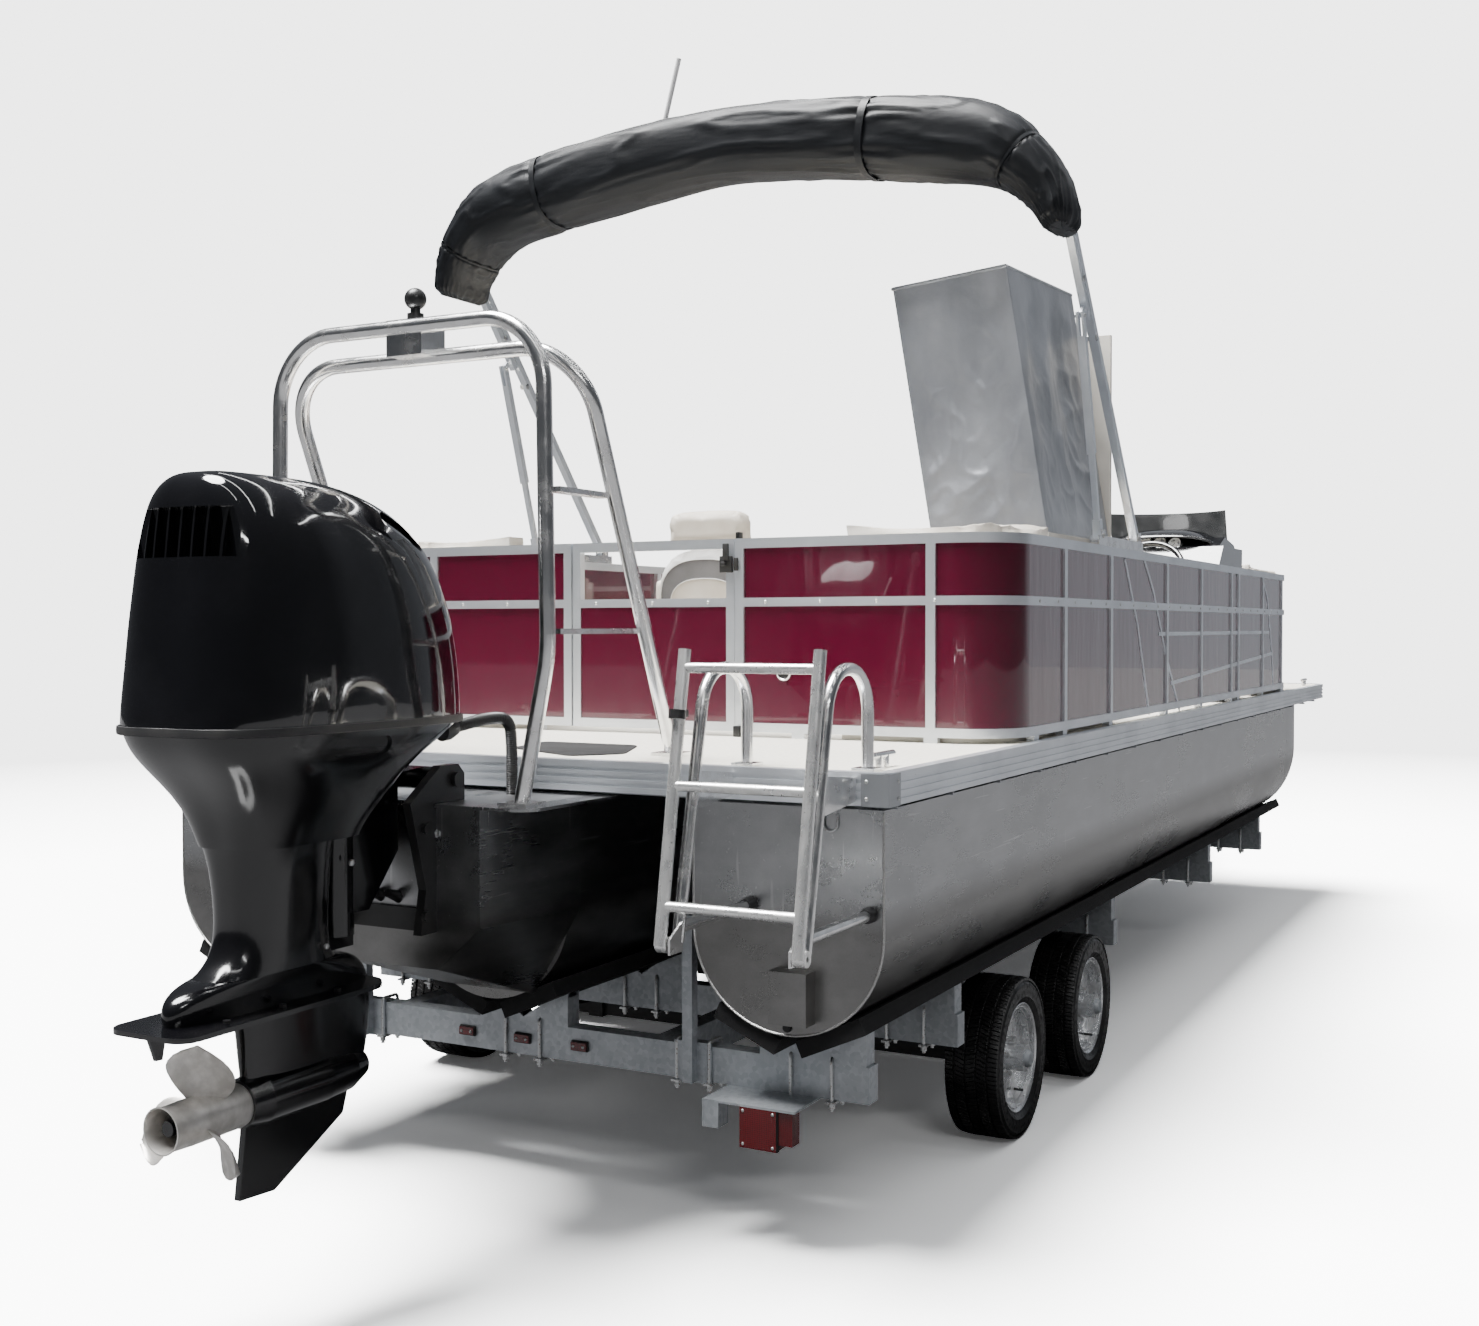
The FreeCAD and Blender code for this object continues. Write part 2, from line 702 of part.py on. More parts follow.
# Tow arch
def arch():
    r = arch_tube / 2
    foot_z = log_top + pod_plate + arch_foot_plate[1]
    rear = [vec(arch_rear_x - 12.0, -arch_rear_foot_half, foot_z),
            vec(arch_rear_x, -arch_rear_half - 12.0, arch_rear_knee),
            vec(arch_rear_x, -arch_rear_half, arch_rear_top),
            vec(arch_rear_x, arch_rear_half, arch_rear_top),
            vec(arch_rear_x, arch_rear_half + 12.0, arch_rear_knee),
            vec(arch_rear_x - 12.0, arch_rear_foot_half, foot_z)]
    rear_tube = bent_tube(rear, (500.0, arch_corner, arch_corner, 500.0), r)
    plate_z = deck_top + arch_foot_plate[1]
    front = [vec(arch_front_foot_x, -arch_front_half, plate_z),
             vec(arch_front_top_x, -arch_front_half, arch_front_top),
             vec(arch_front_top_x, arch_front_half, arch_front_top),
             vec(arch_front_foot_x, arch_front_half, plate_z)]
    front_tube = bent_tube(front, (arch_corner, arch_corner), r)
    lean = (arch_front_top_x - arch_front_foot_x) / (arch_front_top - plate_z)
    pieces = [rear_tube, front_tube]
    for z in arch_step_heights:
        front_x = arch_front_foot_x + lean * (z - plate_z)
        for side in (-1, 1):
            mid = side * (arch_rear_half + arch_front_half) / 2
            pieces.append(block(arch_rear_x, front_x, mid - arch_step_width / 2, mid + arch_step_width / 2,
                                z - arch_step_thick / 2, z + arch_step_thick / 2))
    size, thick = arch_foot_plate
    for side in (-1, 1):
        y = side * arch_rear_foot_half
        pieces.append(block(arch_rear_x - 12.0 - size / 2, arch_rear_x - 12.0 + size / 2, y - size / 2,
                            y + size / 2, foot_z - thick, foot_z + 2.0))
        y = side * arch_front_half
        pieces.append(block(arch_front_foot_x - size / 2, arch_front_foot_x + size / 2, y - size / 2,
                            y + size / 2, deck_top, plate_z + 2.0))
    slab = block(arch_rear_x - 8.0, arch_front_top_x + 8.0, -arch_plate_half, arch_plate_half,
                 arch_front_top - 6.0, arch_rear_top + r)
    pieces.append(slab)
    below = block(-far, far, -far, far, 0, deck_top)
    keep = block(-far, 0, -far, far, 0, far)
    return join(*pieces).cut(below.cut(keep))


def tow_knob():
    x = (arch_rear_x + arch_front_top_x) / 2
    base = arch_rear_top + arch_tube / 2
    stem = Part.makeCylinder(knob_radius * 0.75, 22.0, vec(x, 0, base))
    neck = Part.makeCylinder(knob_radius * 0.45, 24.0, vec(x, 0, base + 22.0))
    head = Part.makeSphere(knob_radius, vec(x, 0, base + 62.0))
    return join(stem, neck, head)


# Boarding ladder
def ladder_fixed():
    r = ladder_tube / 2
    pieces = []
    lean = (ladder_pivot_x + 45.0 - ladder_loop_aft_x) / (ladder_pivot_z - ladder_loop_aft_z)
    foot_size, foot_thick = ladder_foot_plate
    for side in (-1, 1):
        y = ladder_center_y + side * ladder_fixed_half
        aft_top = vec(ladder_loop_aft_x + lean * (ladder_loop_top - ladder_loop_aft_z), y,
                      ladder_loop_top)
        path = [vec(ladder_front_x, y, deck_top + foot_thick), vec(ladder_front_x, y, ladder_loop_top),
                aft_top, vec(ladder_pivot_x + 45.0, y, ladder_pivot_z)]
        pieces.append(bent_tube(path, (112.0, 118.0), r))
        pieces.append(block(ladder_front_x - foot_size / 2, ladder_front_x + foot_size / 2,
                            y - foot_size / 2, y + foot_size / 2, deck_top, deck_top + foot_thick + 2))
        pieces.append(prism([(ladder_pivot_x - 16, ladder_pivot_z - 22), (ladder_pivot_x + 45, ladder_pivot_z - 22),
                             (ladder_pivot_x + 60, ladder_pivot_z + 60), (ladder_pivot_x - 16, ladder_pivot_z + 16)],
                            y - side * 8.0, ("y", -side * 6.0)))
        pieces.append(rod(vec(ladder_pivot_x, y - side * 14.0, ladder_pivot_z),
                          vec(ladder_pivot_x, ladder_center_y + side * (ladder_fold_half - 16.3), ladder_pivot_z),
                          ladder_pin / 2))
        stub_x = ladder_pivot_x + 45.0 + lean * (standoff_z - ladder_pivot_z)
        pieces.append(rod(vec(stub_x, y, standoff_z), vec(log_stern, y, standoff_z), 15.0))
        bracket_z = deck_top - edge_height / 2
        bracket_x = ladder_loop_aft_x + lean * (bracket_z - ladder_loop_aft_z)
        pieces.append(prism([(bracket_x, bracket_z - 50), (-0.0, bracket_z - 30), (-0.0, bracket_z + 30),
                             (bracket_x, bracket_z + 50)], y - 4.0, ("y", 8.0)))
    return join(*pieces)


def ladder_fold():
    r = ladder_tube / 2
    pieces = []
    bottom = vec(ladder_pivot_x - 20.0, 0, ladder_pivot_z)
    top = vec(ladder_fold_top_x - 20.0, 0, ladder_fold_top)
    for side in (-1, 1):
        y = ladder_center_y + side * ladder_fold_half
        pieces.append(rod(bottom + vec(0, y, 0), top + vec(0, y, 0), r))
        eye = Part.makeCylinder(20.0, ladder_tube, vec(ladder_pivot_x, y - r, ladder_pivot_z), vec(0, 1, 0))
        hole = Part.makeCylinder(ladder_pin / 2 + 0.3, ladder_tube * 3, vec(ladder_pivot_x, y - 3 * r, ladder_pivot_z),
                                 vec(0, 1, 0))
        pieces[-1] = join(pieces[-1], eye).cut(hole)
    lean = (top.x - bottom.x) / (top.z - bottom.z)
    for z in (1010.0, 1300.0, 1590.0):
        x = bottom.x + lean * (z - bottom.z)
        y = ladder_center_y
        pieces.append(rod(vec(x, y - ladder_fold_half, z), vec(x, y + ladder_fold_half, z),
                          ladder_rung_tube / 2))
    return join(*pieces)


# Folding top
def top_mount(side):
    y = side * top_leg_y
    x0, x1 = strut_foot_x - mount_end, top_foot_x + mount_end
    inner = top_tube / 2 + mount_gap
    outer = inner + mount_cheek
    base = block(x0, x1, y - outer, y + outer, top_rail_top, top_rail_top + mount_thick)
    pieces = [base]
    for way in (-1, 1):
        a, b = y + way * inner, y + way * outer
        pieces.append(block(x0, x1, a, b, top_rail_top, top_rail_top + mount_cheek_height))
        pieces.append(block(strut_foot_x - ear_half, strut_foot_x + ear_half, a, b, top_rail_top,
                            strut_foot_z + ear_half))
        pieces.append(block(top_foot_x - ear_half, top_foot_x + ear_half, a, b, top_rail_top,
                            top_foot_z + ear_half))
    return join(*pieces)


def top_mounts():
    return [top_mount(side) for side in (-1, 1)]


top_leg_y = top_half - rail_depth / 2


def top_leg(side):
    # One main leg with the folded second bow beside it and the lug that takes the strut.
    y = side * top_leg_y
    foot = vec(top_foot_x, y, top_foot_z)
    end = vec(top_leg_end_x, y, top_leg_end_z)
    way = (end - foot).normalize()
    aft = vec(0, 1, 0).cross(way) * -1
    if aft.x > 0:
        aft = aft * -1
    leg = square_bar(foot - way * 14.0, end, top_tube)
    joint = vec(strut_top_x, y, strut_top_z)
    along = (joint - foot).dot(way)
    shift = aft * (top_tube + second_tube_gap)
    second = square_bar(foot + way * (along - 40.0) + shift, end + shift * 0.9, top_tube - 4.0)
    strap = square_bar(foot + way * (along - 60.0) + aft * 16.0, foot + way * (along + 160.0) + aft * 16.0, 10.0)
    lug = square_bar(foot + way * along, joint - aft * 4.0, 22.0)
    lug = lug.common(block(-far, far, y - 5.0, y + 5.0, 0, far))
    return join(leg, second, strap, lug)


def top_frame():
    return Part.makeCompound([top_leg(-1), top_leg(1)])


def boot_section(center, radial, depth, height):
    # One rounded four-sided slice of the rolled cover, square to its run.
    across = vec(1, 0, 0)
    d, h = depth / 2, height / 2
    ring = []
    for a, b in ((-1, -0.55), (-0.6, -1), (0.6, -1), (1, -0.55), (1, 0.55), (0.6, 1), (-0.6, 1), (-1, 0.55)):
        ring.append(center + across * (a * d) + radial * (b * h))
    return Part.makePolygon(ring + [ring[0]])


def top_boot():
    steps = [(vec(x, y, z), math.radians(turn), height) for y, z, x, turn, height in boot_route]
    half = [boot_section(p, vec(0, math.sin(t), math.cos(t)), boot_depth, h) for p, t, h in steps]
    other = [boot_section(vec(p.x, -p.y, p.z), vec(0, -math.sin(t), math.cos(t)), boot_depth, h)
             for p, t, h in reversed(steps[:-1])]
    return loft(half + other, True)


def top_strut(side):
    y = side * top_leg_y
    foot = vec(strut_foot_x, y, strut_foot_z)
    head = vec(strut_top_x, y, strut_top_z)
    way = (head - foot).normalize()
    middle = foot + way * ((head - foot).Length * 0.42)
    rod_part = square_bar(foot - way * 12.0, middle, strut_rod)
    foot_pad = square_bar(foot - way * 12.0, foot + way * 60.0, top_tube)
    outer = square_bar(middle - way * 30.0, head + way * 14.0, strut_tube)
    slot = block(-far, far, y - 5.3, y + 5.3, strut_top_z - 70.0, strut_top_z + 70.0)
    return join(rod_part, foot_pad, outer).cut(slot)


def light_pole():
    y = light_pole_y
    foot = vec(top_bow_x, y + 10.0, light_pole_base_z)
    tip = vec(top_bow_x, y - 70.0, light_pole_top_z)
    return rod(foot, tip, light_pole_radius)


# Cabin furniture
def cabin_side(side):
    return side * (fence_half - rail_depth - fence_clear)


def in_cabin(shape):
    return shape.common(fence_plan(rail_depth + fence_clear, deck_top, far))


def room_base():
    # A walled locker whose inner top shelf runs out to the tent's foot.
    outer = block(room_stern, room_bow, room_inner, cabin_side(-1), deck_top, room_top)
    hollow = block(room_stern + room_rim, room_bow - room_rim, room_inner - room_rim,
                   cabin_side(-1) + room_rim, deck_top + room_rim, room_top - room_rim)
    hatch = block(room_stern + room_rim, room_bow - room_rim, tent_foot_inner - room_rim,
                  cabin_side(-1) + room_rim, deck_top + room_rim, far)
    hollow = hollow.fuse(hatch)
    barrels = []
    for y in (cabin_side(-1) + 90.0, room_inner - 130.0):
        barrels.append(rod(vec(lid_hinge_x, y, lid_hinge_z), vec(lid_hinge_x, y + 40.0, lid_hinge_z), lid_barrel))
        barrels.append(block(lid_hinge_x - lid_barrel, lid_hinge_x + lid_barrel, y, y + 40.0, room_top - 10,
                             lid_hinge_z))
    return join(outer.cut(hollow), *barrels)


def tent_ring(inset, drop=0.0):
    # The tent's top edge: leaning inboard over its foot and rising to the bow and the outer side.
    x0, x1 = room_stern + inset, lid_hinge_x - curtain_lid_gap - inset
    ring = []
    for x, y in ((x0, tent_top_outer + inset), (x1, tent_top_outer + inset), (x1, tent_top_inner - inset),
                 (x0, tent_top_inner - inset)):
        z = tent_top_stern + tent_rise_bow * (x - room_stern) + tent_rise_outer * (tent_top_inner - y)
        ring.append(vec(x, y, z - drop))
    return Part.makePolygon(ring + [ring[0]])


def tent_foot(inset, z):
    x0, x1 = room_stern + inset, lid_hinge_x - curtain_lid_gap - inset
    y0, y1 = cabin_side(-1) + inset, tent_foot_inner - inset
    ring = [vec(x0, y0, z), vec(x1, y0, z), vec(x1, y1, z), vec(x0, y1, z)]
    return Part.makePolygon(ring + [ring[0]])


def curtain():
    foot = room_top + soft_gap
    thick = curtain_inset + curtain_thick
    tent = loft([tent_foot(curtain_inset, foot), tent_ring(curtain_inset)], True)
    room = loft([tent_foot(thick, foot), tent_ring(thick, curtain_thick)], True)
    return tent.cut(room)


lid_hinge_x = room_bow - lid_barrel - 1.0
lid_hinge_z = room_top + lid_barrel + 1.0


def room_lid():
    y0, y1 = cabin_side(-1) + 4.0, room_inner
    board = block(lid_hinge_x, lid_hinge_x + lid_thick, y0, y1, lid_hinge_z + lid_seat_gap, lid_tip)
    pieces = [board]
    for y in (cabin_side(-1) + 90.0, room_inner - 130.0):
        low = y + 40.0 + knuckle_gap
        pieces.append(rod(vec(lid_hinge_x, low, lid_hinge_z), vec(lid_hinge_x, low + 40.0, lid_hinge_z),
                          lid_barrel))
        pieces.append(block(lid_hinge_x, lid_hinge_x + 6.0, low, low + 40.0, lid_hinge_z, lid_hinge_z + 40.0))
    return join(*pieces)


def lounge_set(x0, x1, inner, side, end_at_bow):
    # A bench along the side with a padded back, and a padded end at one of its ends.
    outer = cabin_side(side)
    back_in = outer - side * lounge_back_thick
    end_in = x1 - lounge_back_thick if end_at_bow else x0 + lounge_back_thick
    base = block(x0, x1, side * inner, outer, deck_top, seat_base_top)
    back = block(x0, x1, back_in, outer, seat_base_top, lounge_back_top)
    if end_at_bow:
        end = block(end_in, x1, side * inner, outer, seat_base_top, lounge_back_top)
        seat = block(x0, end_in - soft_gap, side * inner, back_in - side * soft_gap, seat_base_top,
                     seat_cushion_top)
    else:
        end = block(x0, end_in, side * inner, outer, seat_base_top, lounge_back_top)
        seat = block(end_in + soft_gap, x1, side * inner, back_in - side * soft_gap, seat_base_top,
                     seat_cushion_top)
    return in_cabin(base), [in_cabin(seat), in_cabin(join(back, end))]


def console():
    x0, x1 = console_stern, console_bow
    side_view = [(x0 + 60, deck_top), (x1, deck_top), (x1 + 40, console_top), (x0 + 160, console_top),
                 (x0 + 20, console_top - 130), (x0 + 60, console_top - 260)]
    width = cabin_side(-1) - console_inner
    body = prism(side_view, console_inner, ("y", width))
    hood = [(x0 + 160, console_top), (x0 + 300, console_dash_top), (x0 + 520, console_top + 20),
            (x0 + 560, console_top)]
    start = helm_center - helm_axis * 34.3
    column = rod(start, start - helm_axis * 130.0, 30.0)
    return join(body, prism(hood, console_inner - 20, ("y", width + 40)), column)


def windscreen():
    x0 = console_stern + 570.0
    mid = (console_inner + cabin_side(-1)) / 2
    half = (console_inner - cabin_side(-1)) / 2 - 30
    low = Part.Arc(vec(x0 - 150, mid - half, console_top), vec(x0, mid, console_top),
                   vec(x0 - 150, mid + half, console_top)).toShape()
    sweep = low.extrude(vec(-70, 0, windscreen_height))
    return sweep.extrude(vec(windscreen_thick, 0, 0))


helm_tilt = math.radians(35.0)
helm_center = vec(console_stern - 55.0, (console_inner + cabin_side(-1)) / 2, helm_wheel_z)
helm_axis = vec(-math.cos(helm_tilt), 0, math.sin(helm_tilt))


def helm_wheel():
    rim = Part.makeTorus(helm_wheel_radius, helm_wheel_rim, helm_center, helm_axis)
    hub = Part.makeCylinder(34.0, 40.0, helm_center - helm_axis * 34.0, helm_axis)
    side = vec(0, 1, 0)
    up = helm_axis.cross(side)
    spokes = []
    for turn in (90.0, 210.0, 330.0):
        a = math.radians(turn)
        way = side * math.cos(a) + up * math.sin(a)
        spokes.append(rod(helm_center - helm_axis * 10.0, helm_center + way * helm_wheel_radius, 8.0))
    return join(rim, hub, *spokes)


def chair_pedestal(place):
    x, y = place
    plate = Part.makeCylinder(150.0, 10.0, vec(x, y, deck_top))
    post = Part.makeCylinder(chair_pedestal_radius, chair_post_height, vec(x, y, deck_top))
    return join(plate, post)


def chair(place):
    x, y = place
    h = chair_half_width
    seat_low = deck_top + chair_post_height + knuckle_gap
    pan = block(x - 200, x + 230, y - h + 40, y + h - 40, seat_low, seat_low + 62)
    cushion = block(x - 210, x + 270, y - h, y + h, seat_low + 60, chair_seat_top)
    back = prism([(x - 300, seat_low + 80), (x - 190, seat_low + 80), (x - 230, chair_back_top),
                  (x - 330, chair_back_top)], y - h, ("y", 2 * h))
    arms = [block(x - 220, x + 180, y + s * (h - 10), y + s * (h + 60), chair_seat_top - 60,
                  chair_seat_top + 120) for s in (-1, 1)]
    return join(pan, cushion, back, *arms)


# Outboard engine
def clamp_bracket():
    # Two cheeks bolted to the pod's stern that hook over its edge and carry the tilt tube.
    front = pod_stern
    over = log_top + pod_plate
    tie_height = 60.0
    tube_reach = clamp_half + 14.0
    cheeks = []
    for side in (-1, 1):
        y0, y1 = side * (clamp_half - clamp_thick), side * clamp_half
        side_view = [(front, clamp_bottom), (front, over), (tilt_x + clamp_hook, over),
                     (tilt_x + clamp_hook, tilt_z + 14), (tilt_x + 14, tilt_z + clamp_hook),
                     (tilt_x - 60, tilt_z + clamp_hook), (clamp_aft, tilt_z - 50),
                     (clamp_aft + 62, tilt_z - 280), (clamp_aft + 40, clamp_bottom)]
        cheeks.append(prism(side_view, y0, ("y", y1 - y0)))
        for z in (clamp_bottom + 50.0, over - 60.0):
            cheeks.append(rod(vec(front - 50.0, side * (clamp_half - 2), z),
                              vec(front - 50.0, side * (clamp_half + 12), z), 13.0))
    tie = block(front - 12.0, front, -clamp_half, clamp_half, clamp_bottom, clamp_bottom + tie_height)
    tube = rod(vec(tilt_x, -tube_reach, tilt_z), vec(tilt_x, tube_reach, tilt_z), tilt_tube_radius)
    return join(*cheeks, tie, tube)


def swivel_bracket():
    inner = clamp_half - clamp_thick - 1.0
    post = Part.makeCylinder(swivel_radius, swivel_top - swivel_bottom, vec(steer_x, 0, swivel_bottom))
    boss = rod(vec(tilt_x, -inner, tilt_z), vec(tilt_x, inner, tilt_z), tilt_boss)
    back = pod_stern - 34.0
    low = swivel_bottom + 60.0
    arm = prism([(tilt_x, tilt_z - 14), (tilt_x, tilt_z + tilt_boss), (steer_x, swivel_top - 6), (steer_x, low),
                 (steer_x + 60, low), (back, low + 140), (back, tilt_z - 14)],
                -swivel_arm_half, ("y", 2 * swivel_arm_half))
    sleeve = rod(vec(tilt_x, -clamp_half, tilt_z), vec(tilt_x, clamp_half, tilt_z), tilt_tube_radius + 0.3)
    bore = Part.makeCylinder(king_pin + 0.3, far, vec(steer_x, 0, 0))
    return join(post, arm, boss).cut(sleeve).cut(bore)


def cowl_ring(z, aft, fore, half, square=0.5):
    # A rounded plan outline of the engine at height z: the lower the square, the squarer it is.
    mid = (aft + fore) / 2
    length = (fore - aft) / 2
    points = []
    count = 20
    for step in range(count):
        a = 2 * math.pi * step / count
        c, s = math.cos(a), math.sin(a)
        points.append(vec(mid + length * math.copysign(abs(c) ** square, c),
                          half * math.copysign(abs(s) ** square, s), z))
    curve = Part.BSplineCurve()
    curve.interpolate(points, True)
    return Part.Wire(curve.toShape())


def cowl_form(inset):
    outlines = cowl_outlines if inset == 0.0 else cowl_outlines[:-1]
    rings = []
    for rise, aft, fore, half in outlines:
        low = inset if rise > 0.0 else 0.0
        rings.append(cowl_ring(cowl_seam + rise - low, aft + inset, fore - inset, half - inset))
    return loft(rings)


def pan_form(inset):
    return loft([cowl_ring(z, aft + inset, fore - inset, half - inset) for z, aft, fore, half in pan_outlines])


def slot_prism(x0, z0, x1, z1, radius):
    # A long hole with round ends between two points of the side view, through the whole width.
    reach = 400.0
    length = math.hypot(x1 - x0, z1 - z0)
    dx, dz = (x1 - x0) / length * radius, (z1 - z0) / length * radius
    body = prism([(x0 - dz, z0 + dx), (x1 - dz, z1 + dx), (x1 + dz, z1 - dx), (x0 + dz, z0 - dx)],
                 -reach, ("y", 2 * reach))
    ends = [rod(vec(x, -reach, z), vec(x, reach, z), radius) for x, z in ((x0, z0), (x1, z1))]
    return join(body, *ends)


def cowl():
    # The top cover: a shell with a finned vent high on its stern and a scoop in each side.
    outer = cowl_form(0.0)
    shell = outer.cut(cowl_form(cowl_wall))
    inside = vent_back + cowl_wall
    box = block(-far, inside, -vent_half - cowl_wall, vent_half + cowl_wall, vent_bottom - cowl_wall,
                vent_top + cowl_wall).common(outer)
    pocket = block(-far, vent_back, -vent_half, vent_half, vent_bottom, vent_top)
    shell = join(shell, box).cut(pocket)
    lips = cowl_form(vent_rim)
    fins = []
    for step in range(1, vent_fins + 1):
        y = -vent_half + 2 * vent_half * step / (vent_fins + 1)
        fins.append(block(-far, vent_back + 1, y - vent_fin / 2, y + vent_fin / 2, vent_bottom - 1,
                          vent_top + 1).common(lips))
    scoops = slot_prism(*cowl_scoop).cut(cowl_form(recess_depth))
    return join(shell, *fins).cut(scoops)


def powerhead():
    half = 150.0
    return block(pan_outlines[-1][1] + 120, pan_outlines[-1][2] - 150, -half, half, cowl_seam - 20,
                 cowl_seam + 340)


def lower_cowl():
    # The lower cover with its seam band, cut away below its floor where the bracket swings.
    body = pan_form(0.0)
    well = prism([(steer_x - 68, -96), (steer_x - 68, 96), (steer_x + 16, 100), (steer_x + 120, 152),
                  (0, 240), (0, -240), (steer_x + 120, -152), (steer_x + 16, -100)], 0, ("z", pan_floor))
    lug = block(-700, steer_x + 34, -30, 30, swivel_top + 0.3, pan_floor + 10)
    recess = slot_prism(*pan_recess).cut(pan_form(recess_depth))
    rise, aft, fore, half = cowl_outlines[0]
    out = seam_band_out
    band = loft([cowl_ring(cowl_seam - seam_band_height, aft - out, fore + out, half + out),
                 cowl_ring(cowl_seam - knuckle_gap, aft - out, fore + out, half + out)])
    trim = block(-far, far, -far, far, cowl_seam - knuckle_gap, far)
    return join(body.cut(recess).cut(well), lug, band).cut(trim).cut(powerhead())


def midsection():
    rings = [cowl_ring(z, aft, fore, half, 0.7) for z, aft, fore, half in leg_outlines]
    pin = Part.makeCylinder(king_pin, swivel_top + 0.3 - swivel_bottom + 30, vec(steer_x, 0, swivel_bottom - 30))
    lug = block(-660, steer_x + 34, -30, 30, swivel_bottom - 30, swivel_bottom - 0.3)
    return join(loft(rings), pin, lug)


def gearcase():
    # Flared housing, water plate, blade-shaped strut, torpedo, skeg and trim tab.
    flare = loft([cowl_ring(z, aft, fore, half, 0.8) for z, aft, fore, half in flare_outlines])
    strut = loft([cowl_ring(z, aft, fore, half, 0.8) for z, aft, fore, half in strut_outlines])
    plate_top = flare_outlines[0][0]
    low = plate_top - plate_thick
    plate = rounded_plan(plate_aft, plate_fore, plate_half, 50, 90, 0, low, plate_top)
    r = torpedo_radius
    nose = strut_outlines[0][2] + 26.0
    profile = [vec(prop_hub_fore, 0, prop_z), vec(prop_hub_fore, 0, prop_z + r - 8),
               vec(prop_hub_fore + 60, 0, prop_z + r), vec(nose - 190, 0, prop_z + r),
               vec(nose - 90, 0, prop_z + r * 0.86), vec(nose - 28, 0, prop_z + r * 0.52), vec(nose, 0, prop_z)]
    torpedo = Part.Face(Part.makePolygon(profile + [profile[0]])).revolve(
        vec(0, 0, prop_z), vec(1, 0, 0), 360)
    thick = skeg_thick / 2
    skeg = prism([(-520, prop_z - 30), (-545, prop_z - 110), (-790, skeg_tip_z), (-905, skeg_tip_z + 8),
                  (-880, prop_z - 30)], -thick, ("y", skeg_thick))
    shaft = rod(vec(prop_hub_fore, 0, prop_z), vec(prop_hub_aft + 20, 0, prop_z), prop_shaft)
    tab = prism([(plate_aft + 12, low + 2), (plate_aft + 64, low + 2), (plate_aft + 52, low - 56),
                 (plate_aft + 34, low - 56)], -5, ("y", 10))
    return join(flare, plate, strut, torpedo, skeg, shaft, tab)


def propeller():
    # A hollow hub open at its stern and three raked, twisted blades.
    fore = prop_hub_fore - knuckle_gap
    hub = rod(vec(fore, 0, prop_z), vec(prop_hub_aft, 0, prop_z), prop_hub_radius)
    hollow = rod(vec(fore - 70, 0, prop_z), vec(prop_hub_aft - 1, 0, prop_z), prop_hub_radius - prop_hub_wall)
    sleeve = rod(vec(fore, 0, prop_z), vec(prop_hub_aft + 30, 0, prop_z), prop_shaft + 14)
    bore = rod(vec(prop_hub_fore + 60, 0, prop_z), vec(prop_hub_aft - 60, 0, prop_z), prop_shaft + 0.3)
    cup = block(-far, far, -8, 8, prop_z - prop_hub_radius + 2, prop_z + prop_hub_radius - 2)
    webs = cup.common(rod(vec(fore - 60, 0, prop_z), vec(prop_hub_aft + 60, 0, prop_z), prop_hub_radius - 1))
    blades = []
    for turn in (90.0, 210.0, 330.0):
        rings = []
        for radius, chord in prop_sections:
            a = math.atan2(prop_pitch, 2 * math.pi * radius)
            along, across = math.sin(a), math.cos(a)
            x = prop_root_x - prop_rake * (radius - prop_sections[0][0])
            ring = []
            for c, t in ((-1, 0.1), (-0.5, 0.85), (0.1, 1), (1, 0.1), (1, -0.1), (0.1, -1), (-0.5, -0.85), (-1, -0.1)):
                half, thick = c * chord / 2, t * prop_blade_thick / 2
                ring.append(vec(x + half * along - thick * across, half * across + thick * along, prop_z + radius))
            rings.append(Part.makePolygon(ring + [ring[0]]))
        blade = loft(rings)
        blade.rotate(vec(x, 0, prop_z), vec(1, 0, 0), turn)
        blades.append(blade)
    wheel = join(hub.cut(hollow), sleeve, webs)
    solid_hub = rod(vec(fore, 0, prop_z), vec(prop_hub_aft, 0, prop_z), prop_hub_radius - 2)
    return join(wheel, *[blade.cut(solid_hub) for blade in blades]).cut(bore)


def rigging_hose():
    # The bundle of control cables in its sleeve, from the lower cover down to the pod.
    start = vec(pan_outlines[-2][2] - 30, hose_y + 30, cowl_seam - 46)
    foot_x = -56.0
    route = [start, vec(tilt_x + 190, hose_y, cowl_seam - 20), vec(foot_x, hose_y, log_top + 150),
             vec(foot_x, hose_y, log_top + pod_plate)]
    return bent_tube(route, (90.0, 70.0), hose_radius)


# Trailer
def tongue_half_at(x):
    # Half width of the converging tongue at a place along it.
    along = (x - beam_bow) / (coupler_x - tongue_reach - beam_bow)
    return beam_half + (tongue_half - beam_half) * along


def cross_centers():
    return (cross_rear_x + cross_width / 2,) + cross_places


